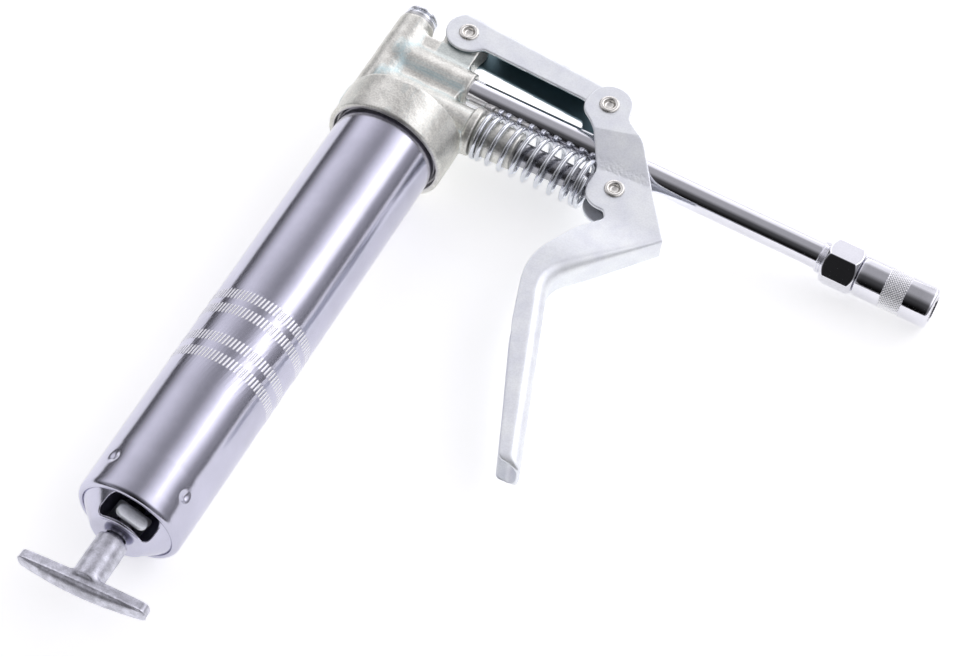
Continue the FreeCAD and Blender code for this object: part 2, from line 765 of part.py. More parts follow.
def lever():
    """Trigger lever of one pressed sheet: ears, waist about the plunger's eye, and a channel grip."""
    bx, by, cx, drop, sheet, ear, waist, grip, radius = values(
        "link_pivot_x", "link_pivot_y", "plunger_pivot_x", "pump_drop", "sheet",
        "lever_half_ear", "lever_half_waist", "lever_half_grip", "lug_radius")
    cy = -drop
    back_corner = (104.6, -26.5, 1.2)
    knee = (77.3, -60.8, 11.0)
    tip = (104.9, -135.2, 1.5)
    outline = [
        (bx - 6.8, by + 8.4, 7.8),
        (bx + 6.6, by + 8.6, 7.8),
        (bx + 9.2, by - 2.6, 5.0),
        (cx + 0.6, cy + 21.6, 14.0),
        back_corner,
        knee,
        tip,
        (95.9, -134.3, 2.6),
        (86.6, -112.0, 120.0),
        (74.4, -83.6, 60.0),
        (66.2, -58.0, 26.0),
        (75.5, -37.0, 22.0),
        (82.4, -28.2, 1.6),
        (80.2, -25.3, 1.2),
        (70.4, -25.4, 7.4),
        (70.3, -10.5, 6.0),
        (61.3, 3.8, 20.0),
        (bx - 8.9, by - 5.2, 6.5),
    ]
    inner = [
        (-200.0, 200.0, 0),
        (400.0, 200.0, 0),
        (back_corner[0] + 60.0, back_corner[1] + 60.0, 0),
        (back_corner[0] + 0.4, back_corner[1] + 2.6, 0),
        (knee[0] - 1.1, knee[1] + 0.6, knee[2] + sheet),
        (tip[0] - sheet + 24.3, -200.0, 0),
        (-200.0, -200.0, 0),
    ]
    stations = [(-220, grip), (-52, grip), (cy - 13.0, waist + 0.4), (cy - 9.0, waist), (cy + 5.6, waist),
                (by - 10.9, ear), (200, ear)]
    solid = thick(rounded_face(outline), 12).common(width_prism(stations, 0, "Y"))
    solid = solid.cut(thick(rounded_face(inner), 12).common(width_prism(stations, sheet, "Y")))
    for x, y in ((bx, by), (cx, cy)):
        solid = solid.cut(hole_along_z(x, y, float(S["rivet_radius"])))
    pressed_piece("lever", solid.removeSplitter())


# ---------------------------------------------------------------- outlet pipe and coupler

def outlet_pieces():
    """Steel pipe, and the coupler's body with a ringed neck, a hexagon and a threaded nose."""
    turned("outlet_pipe", "X", [
        (4.0, S["pipe_bore_radius"]), (4.0, S["pipe_radius"]),
        (S["hex_end"] - 4.0, S["pipe_radius"]), (S["hex_end"] - 4.0, S["pipe_bore_radius"]),
    ])
    nose = S["sleeve_start"] + 10.0
    prism = document.addObject("Part::Prism", "Hexagon")
    prism.Polygon = 6
    across_corners = S["hex_across_flats"] * (1 / math.cos(math.pi / 6) / 2)
    prism.Circumradius = float(across_corners)
    bind(prism, "Circumradius", across_corners)
    prism.Height = float(S["hex_end"] - S["hex_start"])
    bind(prism, "Height", S["hex_end"] - S["hex_start"])
    hex_turn = 18.2
    place(prism, S["hex_start"])
    prism.Placement = FreeCAD.Placement(
        prism.Placement.Base,
        FreeCAD.Rotation(FreeCAD.Vector(0, 1, 0), 90).multiply(
            FreeCAD.Rotation(FreeCAD.Vector(0, 0, 1), hex_turn)))
    rounder = new_body("HexRounder")
    corner = across_corners + 0.1
    chamfer = 1.0
    revolve(rounder, "X", [
        (S["hex_start"], 0), (S["hex_start"], corner - 1.7), (S["hex_start"] + chamfer, corner),
        (S["hex_end"] - chamfer, corner), (S["hex_end"], corner - 1.7), (S["hex_end"], 0),
    ])
    place(rounder)
    hexagon = document.addObject("Part::MultiCommon", "RoundedHexagon")
    hexagon.Shapes = [prism, rounder]
    neck = new_body("NeckBody")
    ring = S["pipe_radius"] + 1.2
    revolve(neck, "X", [
        (S["neck_start"], 0), (S["neck_start"], ring - 0.4), (S["neck_start"] + 0.4, ring),
        (S["neck_start"] + 0.9, ring - 0.5), (S["neck_start"] + 1.3, ring),
        (S["neck_start"] + 1.8, ring - 0.5), (S["hex_start"] + 0.2, ring), (S["hex_start"] + 0.2, 0),
    ])
    place(neck)
    thread = cylinder("X", 5.9, S["hex_end"] - 0.5, nose)
    solid = fuse([hexagon, neck, thread])
    bores = fuse([
        cylinder("X", S["pipe_radius"], S["neck_start"] - 1, S["hex_end"] - 4.0),
        cylinder("X", 1.8, S["hex_end"] - 6.0, nose),
        cylinder("X", 3.8, S["hex_end"] + 2.4, nose + 1),
    ])
    keep(cut(solid, bores), "coupler_body")


def coupler_pieces():
    """Knurled sleeve, four jaws, rubber seal with its steel cup, and the spring behind it."""
    start = S["sleeve_start"]
    mouth = S["reach"]
    thread = 5.9 + 0.07
    turned("coupler_sleeve", "X", [
        (start, thread), (start, S["sleeve_radius"] - 0.5), (start + 0.5, S["sleeve_radius"]),
        (mouth - 1.0, S["sleeve_radius"]), (mouth, S["sleeve_radius"] - 1.0), (mouth, 5.0),
        (mouth - 1.2, 5.0), (mouth - 4.4, thread),
    ])
    jaws = new_body("JawRing")
    revolve(jaws, "X", [
        (mouth - 12.0, S["jaw_bore_radius"]), (mouth - 12.0, 5.7), (mouth - 4.6, 5.7),
        (mouth - 1.4, 4.75), (mouth, 4.75), (mouth, S["jaw_bore_radius"]),
    ])
    place(jaws)
    slots = fuse([
        block((mouth - 13.0, mouth + 1.0), (-7, 7), (-0.3, 0.3)),
        block((mouth - 13.0, mouth + 1.0), (-0.3, 0.3), (-7, 7)),
    ])
    keep(cut(jaws, slots), "coupler_jaws")
    turned("coupler_seal", "X", [
        (mouth - 15.4, 1.4), (mouth - 15.4, 5.2), (mouth - 13.6, 5.2), (mouth - 12.6, 3.2), (mouth - 12.6, 1.4),
    ])
    turned("seal_cup", "X", [
        (start + 7.0, 1.4), (start + 7.0, 3.5), (start + 11.4, 3.5), (start + 11.4, 5.2),
        (mouth - 15.4, 5.2), (mouth - 15.4, 1.4),
    ])
    coil("coupler_spring", "X", 2.8, 0.7, S["hex_end"] + 2.5, start + 6.8, 4)


def write_subparts():
    """Check every object and write one STEP file for each sub-part."""
    os.makedirs("parts", exist_ok=True)
    for thing in document.Objects:
        if "Invalid" in thing.State or "Error" in thing.State:
            raise RuntimeError("%s is not built: %s" % (thing.Label, thing.State))
    for piece in SUBPARTS:
        shape = piece.Shape
        if shape.isNull() or not shape.isValid():
            raise RuntimeError("%s has no valid shape" % piece.Label)
        shape.exportStep("parts/%s.step" % piece.Label)


head_casting()
valve_pieces()
barrel_gasket()
barrel_tube()
end_cap()
latch_plate()
spring_seat()
follower_pieces()
rod_pieces()
plunger()
link()
rivet("head_rivet", S["lug_x"], S["lug_y"], S["link_half_narrow"])
lever()
rivet("link_rivet", S["link_pivot_x"], S["link_pivot_y"], S["lever_half_ear"])
rivet("plunger_rivet", S["plunger_pivot_x"], -S["pump_drop"], S["lever_half_waist"])
outlet_pieces()
coupler_pieces()
document.recompute()
write_subparts()
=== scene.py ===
import functools
import json
import math

import bpy
import numpy as np
from mathutils import Matrix, Vector


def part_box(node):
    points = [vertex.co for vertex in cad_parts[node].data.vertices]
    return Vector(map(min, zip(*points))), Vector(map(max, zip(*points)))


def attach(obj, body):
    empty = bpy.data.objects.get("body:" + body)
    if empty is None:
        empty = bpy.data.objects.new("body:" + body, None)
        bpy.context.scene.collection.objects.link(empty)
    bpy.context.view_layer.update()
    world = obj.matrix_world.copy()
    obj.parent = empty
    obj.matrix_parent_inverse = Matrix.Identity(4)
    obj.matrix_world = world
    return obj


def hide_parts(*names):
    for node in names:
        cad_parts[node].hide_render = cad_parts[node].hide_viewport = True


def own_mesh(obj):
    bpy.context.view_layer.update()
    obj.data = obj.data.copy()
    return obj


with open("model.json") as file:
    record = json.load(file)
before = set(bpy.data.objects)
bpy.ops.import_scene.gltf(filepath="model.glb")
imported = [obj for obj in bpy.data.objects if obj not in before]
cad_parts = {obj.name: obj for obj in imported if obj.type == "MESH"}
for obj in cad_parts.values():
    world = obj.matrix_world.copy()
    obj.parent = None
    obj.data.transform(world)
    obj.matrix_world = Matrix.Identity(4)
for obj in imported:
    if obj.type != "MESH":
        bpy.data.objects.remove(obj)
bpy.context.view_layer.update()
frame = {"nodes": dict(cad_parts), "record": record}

# The looks of a one-hand lever grease gun. Shapes are worked out in millimetres from the head centre, where
# the barrel's axis crosses the outlet pipe's, and written in metres in the row frame.
# +X runs along the outlet pipe, +Y along the barrel towards the valve plug, +Z square to both.

MM = 0.001


def centre_of(node):
    """Middle of a node's box, in millimetres in the row frame."""
    low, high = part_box(node)
    return (low + high) / 2 / MM


REACH = -centre_of("barrel_tube").x
BARREL_RADIUS = 19.5
BARREL_TOP = -30.0
BARREL_BOTTOM = -215.0
COLLAR_RADIUS = 22.8
COLLAR_TOP = -22.0
COLLAR_BOTTOM = -38.9
VALVE_X = -16.5
VALVE_RADIUS = 7.1
VALVE_TOP = 16.2
PUMP_Y = -15.2
PLUNGER_RADIUS = 4.5
PIPE_RADIUS = 5.0
OUTLET_END = 14.6
LUG = (3.0, 19.0)               # pivot between head and link
EAR = (62.4, 14.4)              # pivot between link and lever
EYE = (79.7, -15.2)             # pivot between lever and plunger
LUG_RADIUS = 8.4
SHEET = 1.5
LINK_NARROW = 6.3
LINK_WIDE = 7.2
LEVER_EAR = 9.0
LEVER_WAIST = 5.4
LEVER_GRIP = 7.6
RIVET_RADIUS = 2.5
LATCH_TURN = math.radians(20.0)
BAR_TURN = math.radians(-6.6)


# ---------------------------------------------------------------- fields: shapes as signed distances

class Grid:
    """A block of space sampled at regular steps; a field on it is negative inside a shape."""

    def __init__(self, low, high, step):
        self.low = np.array(low, float)
        self.step = step
        axes = [np.arange(a, b + step, step, dtype=np.float32) for a, b in zip(low, high)]
        self.x = axes[0][:, None, None]
        self.y = axes[1][None, :, None]
        self.z = axes[2][None, None, :]


def both(a, b, radius):
    """Inside both fields, with the edge between them rounded."""
    beyond = np.hypot(np.maximum(a + radius, 0), np.maximum(b + radius, 0))
    return beyond + np.minimum(np.maximum(a, b) + radius, 0) - radius


def either(a, b, radius):
    """Inside either field, with the corner between them filleted."""
    return -both(-a, -b, radius)


def without(a, b, radius):
    """The first field with the second cut away."""
    return both(a, -b, radius)


def span(values, low, high):
    """Signed distance to the stretch from low to high."""
    return np.maximum(low - values, values - high)


def bar(along, across, other, radius, low, high, edge):
    """A round bar: `along` runs on its axis, `across` and `other` are measured from the axis."""
    return both(np.hypot(across, other) - radius, span(along, low, high), edge)


def block(grid, x_span, y_span, z_span, edge):
    """A block with rounded edges."""
    flat = both(span(grid.x, *x_span), span(grid.y, *y_span), edge)
    return both(flat, span(grid.z, *z_span), edge)


class Flat:
    """The X and Y of a grid alone, for relief that doesn't change across the sheet."""

    def __init__(self, grid):
        self.x = grid.x
        self.y = grid.y
        self.z = np.zeros((1, 1, 1), np.float32)


def turned_axes(grid, turn):
    """Distances across and ahead of a piece that is turned about the barrel's axis."""
    across = grid.x * math.cos(turn) - grid.z * math.sin(turn)
    ahead = grid.x * math.sin(turn) + grid.z * math.cos(turn)
    return across, ahead


def line_axes(x, y, start, end):
    """Distances along the line from start to end, and square to it."""
    length = math.dist(start, end)
    ux, uy = (end[0] - start[0]) / length, (end[1] - start[1]) / length
    along = (x - start[0]) * ux + (y - start[1]) * uy
    above = (y - start[1]) * ux - (x - start[0]) * uy
    return along, above


def wobble(grid, size, seed):
    """A smooth random-looking field between about -1 and 1, with bumps of the given size."""
    total = 0
    for index in range(5):
        turn = seed + index * 2.4
        a, b, c = math.cos(turn), math.sin(turn * 1.7), math.cos(turn * 2.3 + 1)
        rate = 2 * math.pi / (size * (0.7 + 0.22 * index))
        total = total + np.sin((grid.x * a + grid.y * b + grid.z * c) * rate + turn * 3)
    return total / 2.6


def rounded_outline(corners, steps=10):
    """Points of a closed outline from (x, y, corner radius) corners."""
    points = []
    count = len(corners)
    for index, (x, y, radius) in enumerate(corners):
        here = np.array([x, y])
        before = np.array(corners[index - 1][:2]) - here
        after = np.array(corners[(index + 1) % count][:2]) - here
        before = before / np.linalg.norm(before)
        after = after / np.linalg.norm(after)
        if radius == 0:
            points.append(here)
            continue
        half_angle = math.acos(float(before @ after)) / 2
        inward = (before + after) / np.linalg.norm(before + after)
        centre = here + inward * radius / math.sin(half_angle)
        first = here + before * radius / math.tan(half_angle) - centre
        last = here + after * radius / math.tan(half_angle) - centre
        start = math.atan2(first[1], first[0])
        sweep = math.atan2(last[1], last[0]) - start
        sweep = (sweep + math.pi) % (2 * math.pi) - math.pi
        for step in range(steps + 1):
            angle = start + sweep * step / steps
            points.append(centre + radius * np.array([math.cos(angle), math.sin(angle)]))
    return points


def outline_field(x, y, points):
    """Signed distance in a plane to a closed outline."""
    nearest = np.full(np.broadcast(x, y).shape, 1e9, np.float32)
    inside = np.zeros(nearest.shape, bool)
    for (ax, ay), (bx, by) in zip(points, points[1:] + points[:1]):
        ex, ey = bx - ax, by - ay
        share = np.clip(((x - ax) * ex + (y - ay) * ey) / (ex * ex + ey * ey), 0, 1)
        nearest = np.minimum(nearest, np.hypot(x - ax - share * ex, y - ay - share * ey))
        if ay != by:
            crossing = (y >= min(ay, by)) & (y < max(ay, by)) & (x < ax + (y - ay) * ex / ey)
            inside ^= crossing
    return np.where(inside, -nearest, nearest)


def surface(grid, field):
    """Quads round the zero level of a field: one point in each cell that the surface crosses."""
    cells = tuple(n - 1 for n in field.shape)
    size = int(np.prod(cells))
    sums = np.zeros((3, size))
    counts = np.zeros(size)
    crossings = []
    for axis in range(3):
        lower = field[tuple(slice(None, -1) if i == axis else slice(None) for i in range(3))]
        upper = field[tuple(slice(1, None) if i == axis else slice(None) for i in range(3))]
        places = np.argwhere((lower < 0) != (upper < 0))
        low_value = lower[tuple(places.T)]
        share = low_value / (low_value - upper[tuple(places.T)])
        where = places.astype(float)
        where[:, axis] += share
        b, c = (axis + 1) % 3, (axis + 2) % 3
        ring = []
        for back_b, back_c in ((0, 0), (1, 0), (1, 1), (0, 1)):
            cell = places.copy()
            cell[:, b] -= back_b
            cell[:, c] -= back_c
            flat = np.ravel_multi_index(cell.T, cells)
            ring.append(flat)
            counts += np.bincount(flat, minlength=size)
            for i in range(3):
                sums[i] += np.bincount(flat, weights=where[:, i], minlength=size)
        ring = np.stack(ring, 1)
        leaving = low_value < 0
        ring[leaving] = ring[leaving][:, ::-1]
        crossings.append(ring)
    used = np.flatnonzero(counts)
    points = (sums[:, used] / counts[used]).T * grid.step + grid.low
    number = np.zeros(size, np.int64)
    number[used] = np.arange(len(used))
    return points, number[np.concatenate(crossings)][:, ::-1]


# ---------------------------------------------------------------- meshes

def row_point(x, y, z):
    """Metres in the row frame from millimetres from the head centre."""
    return Vector(((x - REACH) * MM, y * MM, z * MM))


def piece(name, points, faces, body, slot, stands_for=()):
    """A finished mesh from points in millimetres from the head centre."""
    points = (np.asarray(points, float) - np.array([REACH, 0, 0])) * MM
    mesh = bpy.data.meshes.new(name)
    mesh.from_pydata(points.tolist(), [], [list(face) for face in np.asarray(faces, object)])
    mesh.validate()
    mesh.polygons.foreach_set("use_smooth", [True] * len(mesh.polygons))
    made = bpy.data.objects.new(name, mesh)
    bpy.context.scene.collection.objects.link(made)
    made.data.materials.append(MATERIALS[slot])
    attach(made, body)
    if stands_for:
        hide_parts(*stands_for)
    return made


def field_piece(name, grid, field, body, slot, stands_for=()):
    """A finished mesh round the inside of a field."""
    points, faces = surface(grid, np.broadcast_to(field, np.broadcast(grid.x, grid.y, grid.z).shape))
    return piece(name, points, faces, body, slot, stands_for)


def soften(profile, radius, steps=3):
    """Round every corner of a closed (station, radius) outline; corners on the axis stay."""
    out = []
    for index, corner in enumerate(profile):
        here = np.array(corner, float)
        before = np.array(profile[index - 1], float) - here
        after = np.array(profile[(index + 1) % len(profile)], float) - here
        if here[1] < 1e-6:
            out.append(tuple(here))
            continue
        lengths = np.linalg.norm(before), np.linalg.norm(after)
        cut = min(radius, 0.45 * lengths[0], 0.45 * lengths[1])
        first = here + before / lengths[0] * cut
        last = here + after / lengths[1] * cut
        for step in range(steps + 1):
            t = step / steps
            out.append(tuple(first * (1 - t) ** 2 + here * 2 * t * (1 - t) + last * t * t))
    return out


def on_axis(axis, station, radius, angle):
    """A point round an axis; the angle runs from +Z towards +X about Y, and from +Z towards +Y about X."""
    side, up = radius * math.sin(angle), radius * math.cos(angle)
    return {"X": (station, side, up), "Y": (side, station, up), "Z": (side, up, station)}[axis]


def lathe(profile, axis, origin, segments):
    """Points and faces of a closed outline turned about an axis."""
    points, rings, faces = [], [], []
    for station, radius in profile:
        start = len(points)
        if radius < 1e-6:
            points.append(np.add(on_axis(axis, station, 0, 0), origin))
            rings.append([start] * segments)
            continue
        for k in range(segments):
            points.append(np.add(on_axis(axis, station, radius, 2 * math.pi * k / segments), origin))
        rings.append(list(range(start, start + segments)))
    flip = axis == "Y"
    for ring, following in zip(rings, rings[1:] + rings[:1]):
        for k in range(segments):
            after = (k + 1) % segments
            corners = list(dict.fromkeys((ring[k], ring[after], following[after], following[k])))
            if len(corners) > 2:
                faces.append(corners[::-1] if flip else corners)
    return points, faces


def keep_faces_flat(made):
    """Weigh the smooth shading by face size, so that broad faces and cut ends stay flat."""
    weighted = made.modifiers.new("FlatFaces", "WEIGHTED_NORMAL")
    weighted.keep_sharp = False


def turned(name, profile, axis, origin, body, slot, stands_for=(), edge=0.25, segments=96):
    """A piece turned about an axis from a closed outline with softened corners."""
    points, faces = lathe(soften(profile, edge), axis, origin, segments)
    keep_faces_flat(piece(name, points, faces, body, slot, stands_for))


def spring(name, body, axis, origin, radius, wire, stations, phase, stands_for):
    """Round wire wound through (turn, station) pairs, with its two ends cut square."""
    per_turn = 48
    sides = 14
    turns = [turn for turn, _ in stations]
    places = [station for _, station in stations]
    count = int((turns[-1] - turns[0]) * per_turn) + 1
    line = []
    for step in range(count):
        turn = turns[0] + step / per_turn
        station = np.interp([turn - 0.12, turn, turn + 0.12], turns, places).mean()
        line.append(np.add(on_axis(axis, station, radius, phase + 2 * math.pi * turn), origin))
    line = np.array(line)
    along = np.gradient(line, axis=0)
    along /= np.linalg.norm(along, axis=1)[:, None]
    spine = np.array(on_axis(axis, 1, 0, 0), float)
    outward = line - np.array(origin) - np.outer((line - np.array(origin)) @ spine, spine)
    outward /= np.linalg.norm(outward, axis=1)[:, None]
    third = np.cross(along, outward)
    points, faces = [], []
    for k in range(sides):
        angle = 2 * math.pi * k / sides
        points.append(line + wire / 2 * (math.cos(angle) * outward + math.sin(angle) * third))
    points = np.stack(points, 1).reshape(-1, 3)
    for step in range(count - 1):
        for k in range(sides):
            after = (k + 1) % sides
            faces.append([step * sides + k, step * sides + after,
                          (step + 1) * sides + after, (step + 1) * sides + k])
    faces.append(list(range(sides))[::-1])
    faces.append([(count - 1) * sides + k for k in range(sides)])
    made = piece(name, points, faces, body, "spring_wire", stands_for)
    keep_faces_flat(made)
    return made


# ---------------------------------------------------------------- materials

GRAIN_SHADE = (0.55, 0.55, 0.55)


def noise(nodes, links, where, size, detail):
    """Noise whose features have the given size in millimetres."""
    made = nodes.new("ShaderNodeTexNoise")
    made.inputs["Scale"].default_value = 1 / (size * MM)
    made.inputs["Detail"].default_value = detail
    links.new(where, made.inputs["Vector"])
    return made.outputs["Fac"]


def two_shades(nodes, links, source, low, high):
    """A blend between two (place, colour) stops."""
    ramp = nodes.new("ShaderNodeValToRGB")
    for stop, (place, colour) in zip(ramp.color_ramp.elements, (low, high)):
        stop.position = place
        stop.color = (*colour, 1)
    links.new(source, ramp.inputs["Fac"])
    return ramp.outputs["Color"]


def mixed_colours(nodes, links, way, first, second, share=1):
    """Two colours blended in the given way, wholly or in part."""
    mixed = nodes.new("ShaderNodeMixRGB")
    mixed.blend_type = way
    mixed.inputs["Fac"].default_value = share
    links.new(first, mixed.inputs["Color1"])
    links.new(second, mixed.inputs["Color2"])
    return mixed.outputs["Color"]


def metal(name, colour, roughness, patch=0.12, patch_size=9.0, grain=0.25, grain_size=0.5, bump=0.02,
          metallic=1.0, rough_spread=0.08):
    """Metal with soft patches of shade, a grain in its gloss and a fine relief."""
    made = bpy.data.materials.new(name)
    made.use_nodes = True
    nodes, links = made.node_tree.nodes, made.node_tree.links
    shader = nodes["Principled BSDF"]
    shader.inputs["Metallic"].default_value = metallic
    where = nodes.new("ShaderNodeTexCoord").outputs["Object"]
    patches = noise(nodes, links, where, patch_size, 5)
    grains = noise(nodes, links, where, grain_size, 3)
    darker = [c * (1 - patch) for c in colour]
    lighter = [min(1, c * (1 + patch * 0.6)) for c in colour]
    patchy = two_shades(nodes, links, patches, (0.35, darker), (0.65, lighter))
    grainy = two_shades(nodes, links, grains, (0.4, GRAIN_SHADE), (0.6, (1, 1, 1)))
    speckled = mixed_colours(nodes, links, "MULTIPLY", patchy, grainy, grain)
    links.new(speckled, shader.inputs["Base Color"])
    gloss = nodes.new("ShaderNodeMapRange")
    gloss.inputs["From Min"].default_value = 0.3
    gloss.inputs["From Max"].default_value = 0.7
    gloss.inputs["To Min"].default_value = max(0.02, roughness - rough_spread)
    gloss.inputs["To Max"].default_value = roughness + rough_spread
    links.new(grains, gloss.inputs["Value"])
    links.new(gloss.outputs["Result"], shader.inputs["Roughness"])
    relief = nodes.new("ShaderNodeBump")
    relief.inputs["Strength"].default_value = 1.0
    relief.inputs["Distance"].default_value = bump * MM
    links.new(grains, relief.inputs["Height"])
    links.new(relief.outputs["Normal"], shader.inputs["Normal"])
    return made


def marked(material, mark_name, colour, roughness):
    """A different colour and roughness where the mesh carries a mark: a painted highlight on raised lines and
    knurl crests, and a painted shade in the head's fillets and inside a channel.
    """
    nodes, links = material.node_tree.nodes, material.node_tree.links
    shader = nodes["Principled BSDF"]
    where = nodes.new("ShaderNodeAttribute")
    where.attribute_name = mark_name
    for socket, value in (("Base Color", (*colour, 1)), ("Roughness", (roughness, roughness, roughness, 1))):
        under = shader.inputs[socket].links[0].from_socket
        mixed = nodes.new("ShaderNodeMixRGB")
        mixed.inputs["Color2"].default_value = value
        links.new(where.outputs["Fac"], mixed.inputs["Fac"])
        links.new(under, mixed.inputs["Color1"])
        links.new(mixed.outputs["Color"], shader.inputs[socket])
    return material


def mark(made, name, amounts):
    """Store how strongly each point of a piece carries a mark; here the marks are painted highlights and
    painted shades.
    """
    layer = made.data.attributes.new(name, "FLOAT", "POINT")
    layer.data.foreach_set("value", np.asarray(amounts, np.float32))


def sampled(grid, field, places):
    """The value of a field at the grid point nearest to each place."""
    nearest = np.rint((places - grid.low) / grid.step).astype(int)
    nearest = np.clip(nearest, 0, np.array(field.shape) - 1)
    return field[tuple(nearest.T)]


def places_of(made):
    """Where a piece's points are, in millimetres from the head centre."""
    flat = np.empty(len(made.data.vertices) * 3, np.float32)
    made.data.vertices.foreach_get("co", flat)
    return flat.reshape(-1, 3) / MM + np.array([REACH, 0, 0])


MATERIALS = {
    # The head casting's fillets take a painted shade: darker, with the cyan tint of its chromate plating.
    "cast_head": marked(metal("cast_head", (0.83, 0.82, 0.765), 0.40, patch=0.12, patch_size=6.0,
                              grain=0.40, grain_size=0.7, bump=0.08, metallic=0.9),
                        "painted_recess_shade", (0.46, 0.62, 0.65), 0.40),
    # The barrel's raised hatch lines take a painted highlight: white and rougher.
    "barrel_plate": marked(metal("barrel_plate", (0.585, 0.58, 0.69), 0.17, patch=0.06, patch_size=16.0,
                                 grain=0.08, grain_size=0.4, bump=0.003, rough_spread=0.04),
                           "painted_ridge_highlight", (1.0, 1.0, 1.0), 0.6),
    # Inside the link's channel the sheet takes a painted shade, a dark teal.
    "plated_sheet": marked(metal("plated_sheet", (0.93, 0.95, 1.0), 0.50, patch=0.06, patch_size=8.0,
                                 grain=0.12, grain_size=0.6, bump=0.008, metallic=0.85),
                           "inside", (0.16, 0.23, 0.26), 0.35),
    # The knurl's crests take a painted highlight: white and rougher.
    "polished_chrome": marked(metal("polished_chrome", (0.80, 0.80, 0.85), 0.09, patch=0.03, grain=0.05,
                                    grain_size=0.8, bump=0.001, rough_spread=0.03),
                              "painted_ridge_highlight", (1.0, 1.0, 1.0), 0.5),
    "spring_wire": metal("spring_wire", (0.76, 0.78, 0.82), 0.20, patch=0.10, grain=0.15, bump=0.004),
    "die_cast": metal("die_cast", (0.72, 0.72, 0.80), 0.42, patch=0.26, patch_size=3.0, grain=0.38,
                      grain_size=0.45, bump=0.03, metallic=0.9),
    "dark_steel": metal("dark_steel", (0.80, 0.82, 0.86), 0.40, patch=0.10, bump=0.01, metallic=0.85),
    "ground_steel": metal("ground_steel", (0.44, 0.44, 0.47), 0.2, grain=0.2, bump=0.003),
    "rivet_steel": metal("rivet_steel", (0.84, 0.82, 0.78), 0.30, patch=0.06, patch_size=3.0, grain=0.1,
                         bump=0.004),
    "bright_zinc": metal("bright_zinc", (0.80, 0.82, 0.87), 0.22, patch=0.08, grain=0.2, bump=0.01),
    "black_rubber": metal("black_rubber", (0.03, 0.03, 0.03), 0.55, metallic=0.0, bump=0.03),
    "soft_washer": metal("soft_washer", (0.66, 0.66, 0.67), 0.4),
}


def dress_cad_nodes():
    """Every node that stays visible takes the finish of its own slot."""
    for part in frame["record"]["subparts"]:
        node = frame["nodes"][part["node"]]
        node.data.materials.clear()
        node.data.materials.append(MATERIALS[part["material_slot"]])
        node.data.polygons.foreach_set("use_smooth", [True] * len(node.data.polygons))
        node.data.set_sharp_from_angle(angle=math.radians(35))


# ---------------------------------------------------------------- head

OUTLET_BOSS_RADIUS = 6.7
PUMP_BOSS_RADIUS = 7.4
SHOULDER_RADIUS = 9.2
SHOULDER_SPAN = (21.8, 25.2)
NOSE_RADIUS = 7.1
NOSE_END = 41.5
BRIDGE_HALF = 5.2
LUG_HALF = 4.5
CHAMBER_RADIUS = 4.7
# How strongly the painted shade darkens the casting's fillets.
RECESS_SHADE_STRENGTH = 0.85
RUNNING_GAP = 0.15
BEYOND = 60.0                   # far enough for a cut to pass right through the head


def head_hollows(g):
    """The barrel's socket and its wider mouth, the bores and the pivot's hole."""
    return (
        bar(g.y, g.x, g.z, BARREL_RADIUS + RUNNING_GAP, -BEYOND, COLLAR_TOP - 2.5, 0.2),
        bar(g.y, g.x, g.z, COLLAR_RADIUS - 2.2, -BEYOND, COLLAR_BOTTOM + 2.4, 0.3),
        bar(g.y, g.x - VALVE_X, g.z, CHAMBER_RADIUS, -6, BEYOND, 0.2),
        bar(g.x, g.y - PUMP_Y, g.z, PLUNGER_RADIUS + RUNNING_GAP, -14, BEYOND, 0.2),
        bar(g.x, g.y, g.z, PIPE_RADIUS - RUNNING_GAP, 4, BEYOND, 0.2),
        bar(g.z, g.x - LUG[0], g.y - LUG[1], RIVET_RADIUS, -BEYOND, BEYOND, 0.2),
    )


